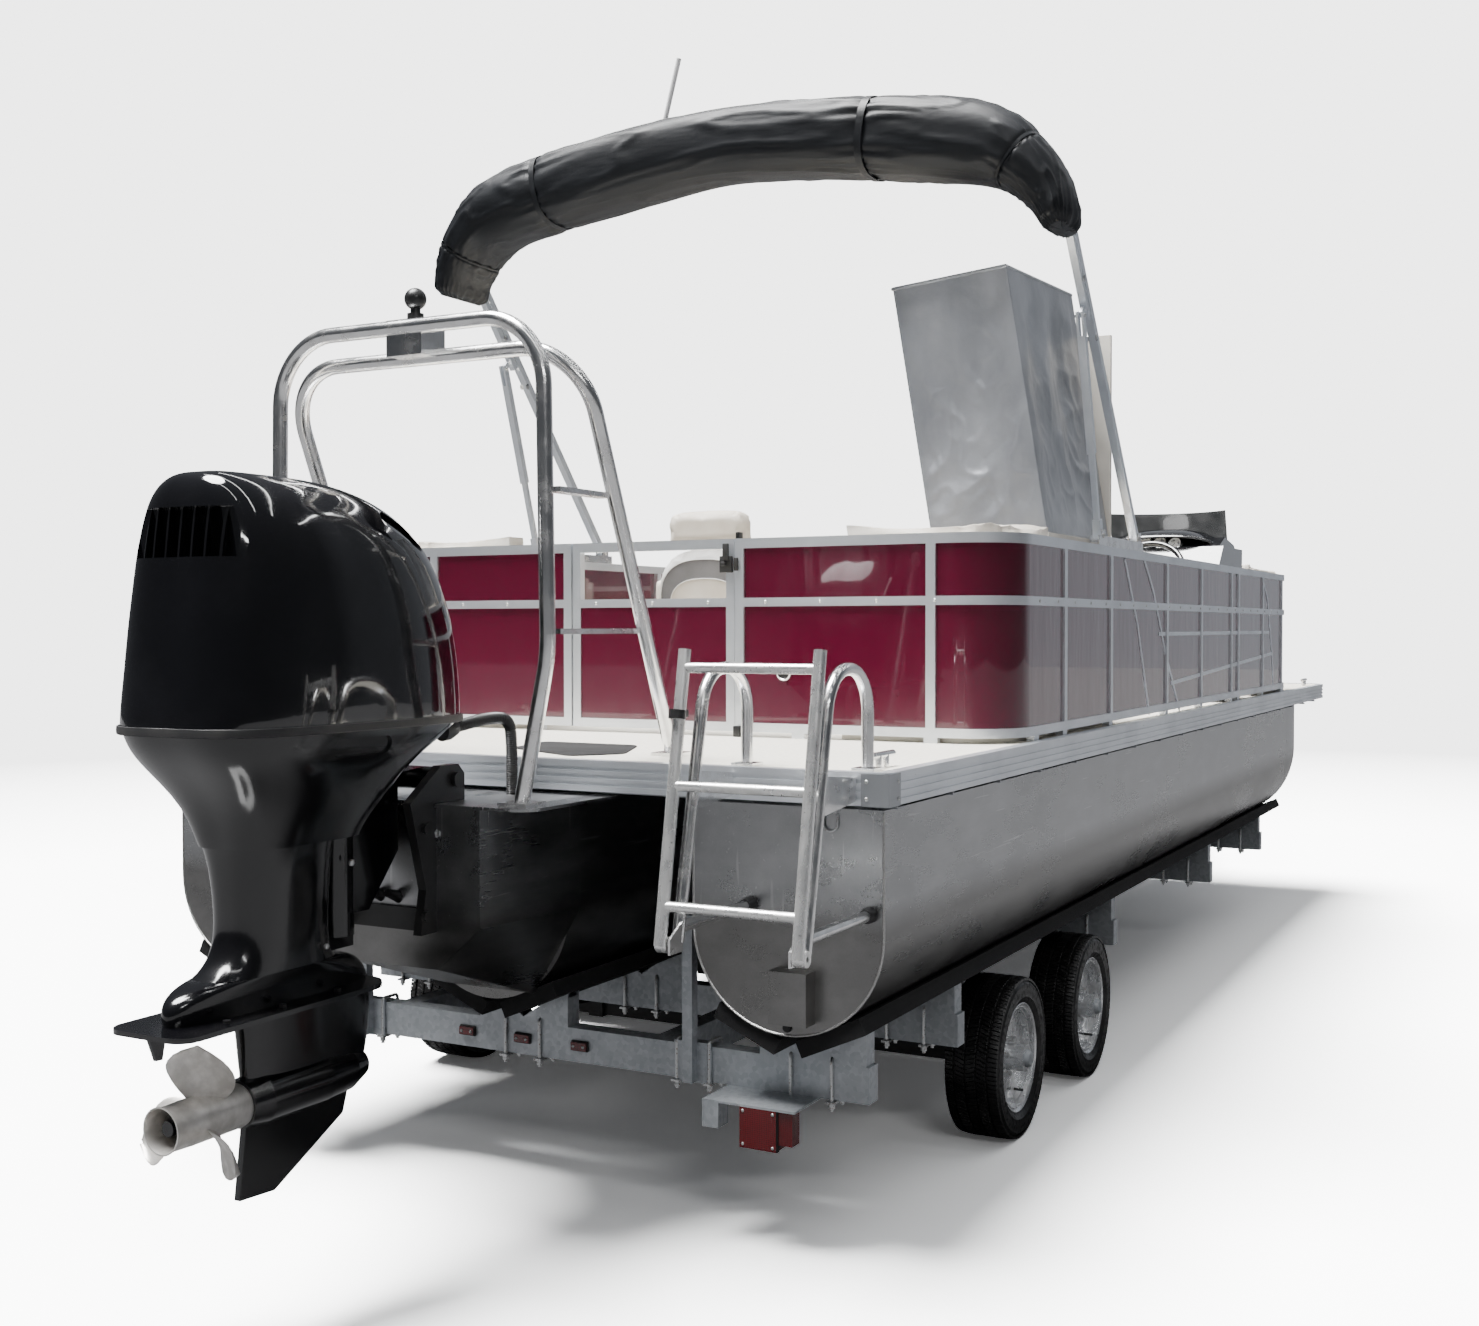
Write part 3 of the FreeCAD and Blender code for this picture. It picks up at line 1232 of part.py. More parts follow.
def trailer_frame():
    # Bars that meet face to face where they are welded: the rear member is whole, the long beams run
    # forward from it, and the other cross members are cut to fit between and outside the beams.
    low, high = beam_bottom, beam_top
    w = beam_width / 2
    nose = coupler_x - tongue_reach
    rear = cross_rear_x + cross_width
    beams, tongue = [], []
    for side in (-1, 1):
        y, tip = side * beam_half, side * tongue_half
        beams.append(block(rear, beam_bow, y - w, y + w, low, high))
        tongue.append(prism([(beam_bow, y + w), (beam_bow, y - w), (nose, tip - w), (nose, tip + w)],
                            low, ("z", beam_height)))
    members = []
    for x in cross_centers():
        bar = block(x - cross_width / 2, x + cross_width / 2, -cross_half, cross_half, cross_bottom,
                    cross_bottom + cross_height)
        members.append(join(bar, *bunk_plates(x)))
    members[0] = join(members[0], *guide_posts(), *lamp_brackets())
    members[1:] = [member.cut(join(*beams)) for member in members[1:]]
    tie = block(winch_x - 40, winch_x + 40, -tongue_half_at(winch_x), tongue_half_at(winch_x), low, high)
    jack_plate = block(jack_x - 60, jack_x + 60, -tongue_half_at(jack_x) - w, tongue_half_at(jack_x) + w,
                       high, high + 8)
    spine = block(jack_x + 1.5 * jack_radius, coupler_x - 60, -36, 36, low + 12, high - 12)
    hitch = join(tie, jack_plate, spine, *coupler(), *winch_stand()).cut(join(*tongue))
    jack_hole = Part.makeCylinder(jack_radius + 0.3, far, vec(jack_x, 0, 0))
    ball = 25.5
    seat = vec(coupler_x - 45, 0, low + 8)
    socket = Part.makeSphere(ball, seat)
    mouth = Part.makeCylinder(ball, far, seat - vec(0, 0, far))
    hitch = hitch.cut(jack_hole).cut(socket).cut(mouth)
    return Part.makeCompound([solid for piece in beams + tongue + members + [hitch] for solid in piece.Solids])


def bunk_plates(x):
    # Open V-topped brackets on a cross member, one under each pair of bunks.
    a = math.radians(bunk_angle)
    under = log_width / 2 + bunk_clear + bunk_thick
    foot = cross_bottom + cross_height
    valley_z = log_bottom + log_width / 2 - under / math.cos(a)
    half, thick = bunk_bracket_half, bunk_bracket_thick
    shoulder_z = valley_z + half * math.tan(a)
    dip = 60.0
    dip_z = valley_z + dip * math.tan(a)
    plates = []
    for center in (-log_offset, 0.0, log_offset):
        view = [(center - half, foot - 1), (center + half, foot - 1), (center + half, shoulder_z),
                (center + dip, dip_z), (center, dip_z - 40), (center - dip, dip_z), (center - half, shoulder_z)]
        for face in (-1, 1):
            edge = x + face * cross_width / 2
            plates.append(prism(view, edge, ("x", -face * thick)))
            plates.append(block(x - cross_width / 2, x + cross_width / 2, center + face * half,
                                center + face * (half - thick), foot - 1, shoulder_z - 12))
    return plates


def bunk_centers():
    reach = log_width / 2 + bunk_clear + bunk_thick / 2
    shoulder = log_bottom + log_width / 2
    a = math.radians(bunk_angle)
    spots = []
    for center in (-log_offset, 0.0, log_offset):
        for way in (-1, 1):
            spots.append((center + way * reach * math.sin(a), shoulder - reach * math.cos(a), way))
    return spots


def bunk_board(y, z, way, x0, x1):
    board = block(x0, x1, -bunk_width / 2, bunk_width / 2, -bunk_thick / 2, bunk_thick / 2)
    board.rotate(vec(0, 0, 0), vec(1, 0, 0), way * bunk_angle)
    board.translate(vec(0, y, z))
    return board


def bunks():
    parts = []
    for y, z, way in bunk_centers():
        parts.append(bunk_board(y, z, way, bunk_stern, bunk_bow))
    return Part.makeCompound(parts)


def leaf_spring(x, y):
    # A shallow bow of leaves over the axle, its ends pinned in hangers under the beam.
    low = tyre_radius + axle_size / 2
    eye = low + spring_eye_drop
    half = spring_width / 2
    lower = Part.Arc(vec(x - spring_reach, y - half, eye), vec(x, y - half, low), vec(x + spring_reach, y - half, eye))
    upper = Part.Arc(vec(x + spring_reach, y - half, eye + spring_thick * 0.5), vec(x, y - half, low + spring_thick),
                     vec(x - spring_reach, y - half, eye + spring_thick * 0.5))
    ends = [Part.LineSegment(lower.EndPoint, upper.StartPoint), Part.LineSegment(upper.EndPoint, lower.StartPoint)]
    wire = Part.Wire([lower.toShape(), ends[0].toShape(), upper.toShape(), ends[1].toShape()])
    leaves = Part.Face(wire).extrude(vec(0, spring_width, 0))
    clip = block(x - 45, x + 45, y - half - 8, y + half + 8, low - axle_size - 6, low + spring_thick + 6)
    pieces = [leaves, clip]
    for end in (-1, 1):
        pin = vec(x + end * (spring_reach - 14), y, eye + spring_thick * 0.25)
        pieces.append(rod(pin - vec(0, half + 10, 0), pin + vec(0, half + 10, 0), 17.0))
        for face in (-1, 1):
            inner = y + face * half
            pieces.append(block(pin.x - 24, pin.x + 24, inner, inner + face * 5, pin.z - 22, beam_bottom))
    return pieces


def axles():
    parts = []
    inner = wheel_center_y - tyre_width / 2 - axle_end_gap
    z = tyre_radius
    top = z + axle_size / 2
    for x in axle_x:
        pieces = [block(x - axle_size / 2, x + axle_size / 2, -inner, inner, z - axle_size / 2, top)]
        for side in (-1, 1):
            pieces.append(rod(vec(x, side * (inner - 4), z), vec(x, side * (wheel_center_y + 20), z),
                              spindle_radius))
            pieces += leaf_spring(x, side * beam_half)
        parts.append(join(*pieces))
    return Part.makeCompound(parts)


def wheel_rim(x, side):
    y = side * wheel_center_y
    outer = y + side * (tyre_width / 2 - 18)
    barrel = rod(vec(x, y - side * (tyre_width / 2 - 18), tyre_radius), vec(x, outer, tyre_radius), tyre_rim_radius)
    hollow = rod(vec(x, y - side * tyre_width, tyre_radius), vec(x, y + side * 20, tyre_radius), tyre_rim_radius - 12)
    face = rod(vec(x, y + side * 40, tyre_radius), vec(x, y + side * tyre_width, tyre_radius), tyre_rim_radius - 12)
    hub = rod(vec(x, y - side * 40, tyre_radius), vec(x, y + side * (tyre_width / 2 + 12), tyre_radius), 44.0)
    bore = rod(vec(x, y - side * tyre_width, tyre_radius), vec(x, y + side * (20 + 0.3), tyre_radius),
               spindle_radius + 0.3)
    return join(barrel.cut(hollow).cut(face), hub).cut(bore)


def tyre(x, side):
    y = side * wheel_center_y
    w = tyre_width / 2
    r0, r1 = tyre_rim_radius, tyre_radius
    points = [(y - w + 18, r0), (y - w, r0 + 30), (y - w + 6, r1 - 22), (y - w + 30, r1), (y + w - 30, r1),
              (y + w - 6, r1 - 22), (y + w, r0 + 30), (y + w - 18, r0)]
    ring = [vec(x, a, b + tyre_radius) for a, b in points]
    return Part.Face(Part.makePolygon(ring + [ring[0]])).revolve(vec(x, 0, tyre_radius), vec(0, 1, 0), 360)


def coupler():
    high = beam_top
    body = block(coupler_x - 430, coupler_x - 20, -36, 36, high - 14, high + 8)
    head = block(coupler_x - 110, coupler_x, -38, 38, beam_bottom - 10, high + 8)
    return [body, head]


def jack_outer():
    low = beam_bottom - 60
    tube = Part.makeCylinder(jack_radius, jack_top - low, vec(jack_x, 0, low))
    hole = Part.makeCylinder(jack_radius - 8, jack_top - low, vec(jack_x, 0, low))
    collar = block(jack_x - 50, jack_x + 50, -50, 50, beam_top + 8, beam_top + 20)
    cap = Part.makeCylinder(jack_radius, 20, vec(jack_x, 0, jack_top))
    crank = rod(vec(jack_x, 0, jack_top + 8), vec(jack_x + 150, 0, jack_top + 8), 8.0)
    grip = rod(vec(jack_x + 140, 0, jack_top + 8), vec(jack_x + 140, 0, jack_top + 100), 12.0)
    return join(join(tube, collar).cut(hole), cap, crank, grip)


def jack_inner():
    leg = Part.makeCylinder(jack_radius - 8.3, jack_top - jack_travel - 20, vec(jack_x, 0, 0))
    foot = Part.makeCylinder(jack_foot_radius, 12.0, vec(jack_x, 0, 0))
    return join(leg, foot)


def winch_stand():
    low = beam_top
    post = block(winch_x - 40, winch_x + 40, -40, 40, low - 20, 1040)
    brace = square_bar(vec(winch_x - 20, 0, 940), vec(winch_x + 500, 0, low - 20), 40.0)
    foot = block(winch_x + 460, winch_x + 540, -tongue_half_at(winch_x + 500), tongue_half_at(winch_x + 500),
                 low - 60, low)
    ears = block(winch_x - 130, winch_x + 40, -68, 68, 1000, 1035)
    roller = rod(vec(winch_x - 120, -60, 1040), vec(winch_x - 120, 60, 1040), 36.0)
    drum = rod(vec(winch_x + 80, -60, 900), vec(winch_x + 80, 60, 900), 55.0)
    cheeks = [block(winch_x + 20, winch_x + 140, y, y + 6, 840, 960) for y in (-66, 60)]
    plate = block(winch_x + 20, winch_x + 140, -66, 66, 834, 842)
    return [post, brace, foot, roller, ears, drum, plate] + cheeks


def guide_posts():
    pieces = []
    x = cross_rear_x
    for side in (-1, 1):
        y = side * guide_y
        pieces.append(block(x - 8, x, y - 60, y + 60, cross_bottom - 6, cross_bottom + cross_height + 10))
        pieces.append(block(x - 40, x - 8, y - 16, y + 16, cross_bottom, guide_top))
    return pieces


def lamp_brackets():
    pieces = []
    x = cross_rear_x
    for side in (-1, 1):
        y = side * lamp_y
        inner = y - side * 170
        pieces.append(block(x - lamp_reach, x + 40, inner, y + side * 110, cross_bottom - 6, cross_bottom))
        pieces.append(block(x - lamp_reach, x - lamp_reach + 60, inner, inner + side * 50,
                            cross_bottom - 76, cross_bottom))
    return pieces


def lamps():
    # Square tail lamps under their brackets, side lenses, and the row of small clearance lights.
    parts = []
    x = cross_rear_x - lamp_reach
    top = cross_bottom - 6.0
    for side in (-1, 1):
        y = side * lamp_y
        body = block(x, x + 60, y - lamp_size / 2, y + lamp_size / 2, top - lamp_size, top)
        lens = block(x + 8, x + 52, y + side * lamp_size / 2, y + side * (lamp_size / 2 + 45), top - lamp_size + 18, top)
        parts.append(join(body, lens))
    face = cross_rear_x
    for step in (-1, 0, 1):
        y = step * clearance_light_pitch
        parts.append(block(face - 14, face, y - 26, y + 26, cross_bottom + 38, cross_bottom + 62))
    return Part.makeCompound(parts)


def cleats():
    parts = []
    for x in (180.0, deck_length - 320.0):
        for side in (-1, 1):
            y = side * (deck_half_beam - 95.0)
            horn = rod(vec(x - 75, y, deck_top + 34), vec(x + 75, y, deck_top + 34), 9.0)
            legs = [Part.makeCylinder(10.0, 34.0, vec(x + dx, y, deck_top)) for dx in (-25, 25)]
            parts.append(join(horn, *legs))
    return parts


# Assembly
def build():
    parts = {}
    parts["hull_tube_starboard"] = hull_tube(-1)
    parts["hull_tube_port"] = hull_tube(1)
    parts["hull_tube_center"] = join(hull_log(0.0, center_log_stern), motor_pod())
    parts["deck_joists"] = deck_joists()
    parts["deck_floor"] = deck_floor()
    parts["deck_edge"] = deck_edge()
    for name, side in (("starboard", -1), ("port", 1)):
        frame = fence_frame(side)
        parts["fence_frame_" + name] = frame
        parts["fence_panels_" + name] = fence_panels(side, frame)
    parts["stern_gate_frame"], parts["stern_gate_panel"] = gate_stern()
    parts["bow_gate_frame"], parts["bow_gate_panel"] = gate_bow()
    parts["side_gate_frame"], parts["side_gate_panel"] = gate_side()
    parts["tow_arch"] = arch()
    parts["tow_knob"] = tow_knob()
    parts["ladder_handrails"] = ladder_fixed()
    parts["ladder_folding"] = ladder_fold()
    parts["deck_fittings"] = Part.makeCompound(cleats() + top_mounts())
    parts["top_frame"] = top_frame()
    parts["top_boot"] = top_boot().cut(parts["top_frame"])
    parts["top_strut_starboard"] = top_strut(-1)
    parts["top_strut_port"] = top_strut(1)
    parts["light_pole"] = light_pole().cut(parts["top_boot"])
    parts["changing_room_base"] = room_base()
    parts["changing_room_curtain"] = curtain()
    parts["changing_room_lid"] = room_lid()
    bow_end = fence_bow - rail_depth - fence_clear
    sets = [lounge_set(fence_stern, lounge_bow, lounge_inner, 1, False),
            lounge_set(fence_stern, room_stern - room_gap, -room_inner, -1, False),
            lounge_set(couch_port_stern, bow_end, couch_inner, 1, False),
            lounge_set(couch_starboard_stern, bow_end, couch_inner, -1, False)]
    parts["lounge_bases"] = Part.makeCompound([base for base, soft in sets])
    parts["lounge_cushions"] = Part.makeCompound([piece for base, soft in sets for piece in soft])
    parts["console"] = console()
    parts["windscreen"] = windscreen().cut(parts["console"])
    parts["helm_wheel"] = helm_wheel()
    parts["chair_pedestals"] = Part.makeCompound([chair_pedestal(p) for p in chair_places.values()])
    for name, place in chair_places.items():
        parts[name] = chair(place)
    parts["engine_clamp"] = clamp_bracket()
    parts["engine_swivel"] = swivel_bracket()
    parts["engine_block"] = powerhead()
    parts["engine_cowl"] = cowl()
    parts["engine_lower_cowl"] = lower_cowl()
    parts["engine_leg"] = midsection()
    parts["engine_gearcase"] = gearcase()
    parts["propeller"] = propeller()
    parts["rigging_hose"] = rigging_hose().cut(parts["engine_lower_cowl"])
    parts["trailer_frame"] = trailer_frame()
    parts["trailer_bunks"] = bunks()
    parts["trailer_axles"] = axles()
    parts["trailer_lamps"] = lamps()
    parts["trailer_jack"] = jack_outer()
    parts["trailer_jack_leg"] = jack_inner()
    for axle_name, x in zip(("rear", "front"), axle_x):
        for name, side in (("starboard", -1), ("port", 1)):
            parts["rim_" + axle_name + "_" + name] = wheel_rim(x, side)
            parts["tyre_" + axle_name + "_" + name] = tyre(x, side)
    return parts


def main():
    parts = build()
    boxes = [shape.optimalBoundingBox() for shape in parts.values()]
    middle = (min(box.XMin for box in boxes) + max(box.XMax for box in boxes)) / 2
    print("centre shift", round(middle, 4))
    os.makedirs("parts", exist_ok=True)
    for name, shape in parts.items():
        shape.translate(vec(-middle, 0, 0))
        solids = len(shape.Solids)
        print(name, solids, shape.isValid(), round(shape.Volume / 1e6, 2))
        shape.exportStep("parts/" + name + ".step")


main()
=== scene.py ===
import bpy
import bmesh
import math
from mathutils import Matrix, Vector
from mathutils import noise as lattice


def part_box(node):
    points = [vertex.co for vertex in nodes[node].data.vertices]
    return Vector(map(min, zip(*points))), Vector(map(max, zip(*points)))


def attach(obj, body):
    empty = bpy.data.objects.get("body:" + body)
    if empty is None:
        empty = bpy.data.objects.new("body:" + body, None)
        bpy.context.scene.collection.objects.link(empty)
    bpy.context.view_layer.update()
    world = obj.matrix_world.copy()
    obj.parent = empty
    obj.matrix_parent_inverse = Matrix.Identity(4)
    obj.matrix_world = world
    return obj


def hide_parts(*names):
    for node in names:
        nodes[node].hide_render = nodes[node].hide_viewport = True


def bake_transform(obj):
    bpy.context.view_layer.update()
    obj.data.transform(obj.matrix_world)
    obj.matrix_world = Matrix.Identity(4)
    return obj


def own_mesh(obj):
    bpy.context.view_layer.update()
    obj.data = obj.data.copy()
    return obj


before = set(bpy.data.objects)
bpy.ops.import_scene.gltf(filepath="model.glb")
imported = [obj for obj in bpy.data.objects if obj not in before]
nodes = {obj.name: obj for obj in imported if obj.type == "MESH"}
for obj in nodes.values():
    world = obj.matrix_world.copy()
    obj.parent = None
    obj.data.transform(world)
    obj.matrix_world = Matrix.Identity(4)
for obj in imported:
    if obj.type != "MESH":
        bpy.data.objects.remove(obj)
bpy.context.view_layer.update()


# The trailer's frame: two long beams, five cross members and a tongue, hot-dip galvanised after welding.
# The zinc leaves a spangle of flat grey crystals, duller where water has stood.
class Shade:
    """One socket of a material's nodes. Sums and products of it add Math nodes."""

    def __init__(self, tree, socket=None):
        self.tree, self.socket = tree, socket

    def node(self, kind, settings, values, out=0):
        made = self.tree.nodes.new("ShaderNode" + kind)
        for name, value in settings.items():
            setattr(made, name, value)
        for name, value in values.items():
            if isinstance(value, Shade):
                self.tree.links.new(value.socket, made.inputs[name])
            else:
                made.inputs[name].default_value = value
        return Shade(self.tree, made.outputs[out] if made.outputs else None)

    def maths(self, operation, first, second):
        return self.node("Math", {"operation": operation}, {0: first, 1: second})

    def __add__(self, other):
        return self.maths("ADD", self, other)

    def __sub__(self, other):
        return self.maths("SUBTRACT", self, other)

    def __rsub__(self, other):
        return self.maths("SUBTRACT", other, self)

    def __mul__(self, other):
        return self.maths("MULTIPLY", self, other)

    __radd__ = __add__
    __rmul__ = __mul__


def start_finish(name):
    material = bpy.data.materials.new(name)
    material.use_nodes = True
    material.node_tree.nodes.clear()
    s = Shade(material.node_tree)
    s.material = material
    return s


def close(s, sockets, height=None, depth=0.001):
    """Joins a finish's sockets to its shader and gives the material back."""
    if height is not None:
        sockets["Normal"] = s.node("Bump", {}, {"Strength": 1.0, "Distance": depth, "Height": height})
    shader = s.node("BsdfPrincipled", {}, sockets)
    s.node("OutputMaterial", {}, {"Surface": shader})
    return s.material


def spread(s, stretch=(1, 1, 1), turn=(0, 0, 0)):
    """The place on the piece in metres, turned and stretched."""
    here = s.node("TexCoord", {}, {}, out="Object")
    return s.node("Mapping", {}, {"Vector": here, "Rotation": turn, "Scale": stretch})


def noise(s, scale, detail=3.0, stretch=(1, 1, 1), turn=(0, 0, 0)):
    return s.node("TexNoise", {}, {"Vector": spread(s, stretch, turn), "Scale": scale, "Detail": detail}, out="Fac")


def blotches(s, scale, detail, low, high, stretch=(1, 1, 1), turn=(0, 0, 0)):
    """A noise cut to patches: 0 up to one of its values, 1 from another on."""
    return between(s, noise(s, scale, detail, stretch, turn), low, high)


def cells(s, scale, out="Distance", **settings):
    return s.node("TexVoronoi", settings, {"Vector": spread(s), "Scale": scale}, out=out)


def height_of(s):
    return s.node("SeparateXYZ", {}, {"Vector": spread(s)}, out="Z")


def between(s, value, low, high, to_low=0.0, to_high=1.0):
    return s.node("MapRange", {}, {"Value": value, "From Min": low, "From Max": high,
                                   "To Min": to_low, "To Max": to_high})


def graded(s, mask, at_0, at_1):
    return between(s, mask, 0.0, 1.0, at_0, at_1)


def tint(s, mask, color_a, color_b):
    a, b = [c if isinstance(c, Shade) else (*c, 1.0) for c in (color_a, color_b)]
    return s.node("Mix", {"data_type": "RGBA"}, {0: mask, 6: a, 7: b}, out=2)


def coat_nodes(material, *names):
    for name in names:
        for slot in nodes[name].material_slots:
            slot.material = material


def galvanised_finish():
    s = start_finish("galvanised")
    spangle = s.node("SeparateColor", {}, {"Color": cells(s, 75.0, "Color")})
    patches = blotches(s, 6.0, 5.0, 0.35, 0.7)
    drips = blotches(s, 30.0, 3.0, 0.55, 0.75, (1, 1, 0.2))
    mask = spangle * 0.5 + patches * 0.35 + drips * 0.15
    return close(s, {"Base Color": tint(s, mask, (0.38, 0.405, 0.43), (0.56, 0.585, 0.61)), "Metallic": 0.6,
                     "Roughness": graded(s, mask, 0.55, 0.38)}, mask, 0.0005)


galvanised = galvanised_finish()
coat_nodes(galvanised, "trailer_frame", "trailer_jack", "trailer_jack_leg")


# U-bolts clamp each bunk bracket and guide post to its cross member. Each is a bent bar, threaded at its
# ends, with a plate and two nuts drawn up under the member.
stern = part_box("deck_edge")[0][0]


def at(x, y, z):
    """A place measured from the deck's stern edge, in the frame's metres."""
    return Vector((stern + x, y, z))


def place_in_scene(name, data):
    piece = bpy.data.objects.new(name, data)
    bpy.context.scene.collection.objects.link(piece)
    return piece


def circle(steps, turn=0.0):
    """Angles evenly round a circle."""
    return [2 * math.pi * (k + turn) / steps for k in range(steps)]


def skin(form, rings, caps=True, loop=False):
    """Joins rings of points, each as long as the next, into one surface."""
    rows = [[form.verts.new(p) for p in ring] for ring in rings]
    for a, b in zip(rows, rows[1:] + (rows[:1] if loop else [])):
        for k in range(len(a)):
            n = (k + 1) % len(a)
            form.faces.new((a[k], a[n], b[n], b[k]))
    if caps and not loop:
        form.faces.new(rows[0][::-1])
        form.faces.new(rows[-1])


def bar(form, path, radius, sides=12, loop=False):
    """A round bar along a path of points. The radius may be a function of how far along it is."""
    points = [Vector(p) for p in path]
    count, normal, rings = len(points), None, []
    for i, point in enumerate(points):
        before = points[i - 1] if i or loop else point
        after = points[(i + 1) % count] if i + 1 < count or loop else point
        along = (after - before).normalized()
        if normal is None:
            normal = along.orthogonal().normalized()
        normal = (normal - along * normal.dot(along)).normalized()
        across = along.cross(normal)
        width = radius(i / (count - 1)) if callable(radius) else radius
        rings.append([point + (normal * math.cos(a) + across * math.sin(a)) * width
                      for a in circle(sides)])
    skin(form, rings, caps=not loop, loop=loop)


def turned(form, outline, center, axis, steps=32):
    """Turns a closed outline of (along, radius) points about an axis."""
    axis = Vector(axis).normalized()
    u = axis.orthogonal().normalized()
    v = axis.cross(u)
    rings = []
    for a in circle(steps):
        way = u * math.cos(a) + v * math.sin(a)
        rings.append([Vector(center) + axis * d + way * r for d, r in outline])
    skin(form, rings, loop=True)
    bmesh.ops.remove_doubles(form, verts=form.verts, dist=1e-6)


def slab(form, low, high, ease=0.002, steps=2):
    """A block with eased edges between two corners."""
    low, high = Vector(low), Vector(high)
    verts = bmesh.ops.create_cube(form, size=1.0)["verts"]
    for v in verts:
        v.co = Vector([(low[i] + high[i]) / 2 + v.co[i] * (high[i] - low[i]) for i in range(3)])
    if ease:
        bmesh.ops.bevel(form, geom=list({e for v in verts for e in v.link_edges}), offset=ease,
                        segments=steps, affect="EDGES", profile=0.5)


def finished_mesh(name, form, material, angle=40.0):
    bmesh.ops.recalc_face_normals(form, faces=form.faces)
    mesh = bpy.data.meshes.new(name)
    form.to_mesh(mesh)
    form.free()
    if material:
        mesh.materials.append(material)
    mesh.polygons.foreach_set("use_smooth", [True] * len(mesh.polygons))
    mesh.set_sharp_from_angle(angle=math.radians(angle))
    return mesh


def stand(name, mesh, body, *replaced):
    """Puts a mesh in the scene as a piece that rides on a body and stands for CAD nodes."""
    piece = place_in_scene(name, mesh)
    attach(piece, body)
    if replaced:
        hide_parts(*replaced)
    return piece


def make(name, form, material, body="hull_and_trailer", *replaced, angle=40.0):
    return stand(name, finished_mesh(name, form, material, angle), body, *replaced)


def turning(name, outline, spots, material, body="hull_and_trailer", steps=24):
    """Makes one piece of the same turned shape at each spot and direction."""
    form = bmesh.new()
    for spot, way in spots:
        turned(form, outline, spot, way, steps)
    return make(name, form, material, body)


class Recipe:
    """A Geometry Nodes tree with named inputs."""

    def __init__(self, name, inputs):
        self.tree = bpy.data.node_groups.new(name, "GeometryNodeTree")
        sockets = self.tree.interface
        sockets.new_socket(name="Geometry", in_out="INPUT", socket_type="NodeSocketGeometry")
        sockets.new_socket(name="Geometry", in_out="OUTPUT", socket_type="NodeSocketGeometry")
        self.keys = {key: sockets.new_socket(name=key, in_out="INPUT",
                                             socket_type="NodeSocket" + kind).identifier
                     for key, kind in inputs.items()}
        self.given = self.tree.nodes.new("NodeGroupInput").outputs

    def step(self, kind, settings, values, out=0):
        made = self.tree.nodes.new(kind)
        for name, value in settings.items():
            setattr(made, name, value)
        for name, value in values.items():
            if isinstance(value, bpy.types.NodeSocket):
                self.tree.links.new(value, made.inputs[name])
            else:
                made.inputs[name].default_value = value
        return made.outputs[out]

    def serve(self, geometry):
        last = self.tree.nodes.new("NodeGroupOutput")
        self.tree.links.new(geometry, last.inputs[0])

    def cook(self, mesh, values):
        """Runs the tree on a mesh or curve and gives back the plain mesh that it makes."""
        holder = place_in_scene("holder", mesh)
        modifier = holder.modifiers.new("recipe", "NODES")
        modifier.node_group = self.tree
        for key, value in values.items():
            modifier[self.keys[key]] = value
        graph = bpy.context.evaluated_depsgraph_get()
        made = bpy.data.meshes.new_from_object(holder.evaluated_get(graph), depsgraph=graph)
        bpy.data.objects.remove(holder)
        return made


def repeat_recipe():
    recipe = Recipe("repeat_item", {"Item": "Object", "Size": "Float", "Finish": "Material"})
    given = recipe.given
    facing = recipe.step("GeometryNodeInputNamedAttribute", {"data_type": "FLOAT_VECTOR"}, {"Name": "facing"})
    turn = recipe.step("FunctionNodeAlignRotationToVector", {"axis": "Z"}, {"Vector": facing})
    item = recipe.step("GeometryNodeObjectInfo", {}, {"Object": given["Item"]}, out="Geometry")
    copies = recipe.step("GeometryNodeInstanceOnPoints", {},
                         {"Points": given["Geometry"], "Instance": item, "Rotation": turn,
                          "Scale": given["Size"]})
    whole = recipe.step("GeometryNodeRealizeInstances", {}, {"Geometry": copies})
    recipe.serve(recipe.step("GeometryNodeSetMaterial", {}, {"Geometry": whole, "Material": given["Finish"]}))
    return recipe


repeat = repeat_recipe()


def repeated(name, item_mesh, spots, material, body="hull_and_trailer", size=1.0):
    """Sets a copy of one small item at each spot, its Z turned to the spot's direction."""
    item = place_in_scene(name + "_item", item_mesh)
    mesh = bpy.data.meshes.new(name + "_spots")
    mesh.from_pydata([tuple(p) for p, _ in spots], [], [])
    facing = mesh.attributes.new("facing", "FLOAT_VECTOR", "POINT")
    facing.data.foreach_set("vector", [c for _, way in spots for c in way])
    made = repeat.cook(mesh, {"Item": item, "Size": size, "Finish": material})
    bpy.data.objects.remove(item)
    made.name = name
    return stand(name, made, body)


cross_width, cross_bottom, cross_top = 0.060, 0.405, 0.505
cross_places = (0.290, 0.970, 2.770, 4.600, 5.950)
bracket_places = (-0.960, 0.0, 0.960)
bolt_radius = 0.0055


def u_bolt():
    form = bmesh.new()
    reach, rise, drop = cross_width / 2 + bolt_radius, 0.014, -0.128
    corner = 0.012
    over = [(-reach, 0, drop)]
    for k in range(5):
        a = math.pi - k * math.pi / 8
        over.append((-reach + corner + corner * math.cos(a), 0, rise - corner + corner * math.sin(a)))
    over += [(-x, y, z) for x, y, z in over[::-1]]
    bar(form, over, bolt_radius, 8)
    for way in (-1, 1):
        for lift in (-0.114, -0.121):
            turned(form, [(0, 0), (0, 0.0095), (0.006, 0.0095), (0.006, 0)], (way * reach, 0, lift), (0, 0, 1), 6)
    slab(form, (-reach - 0.014, -0.013, -0.108), (reach + 0.014, 0.013, -0.102), 0.0)
    return finished_mesh("u_bolt", form, None)


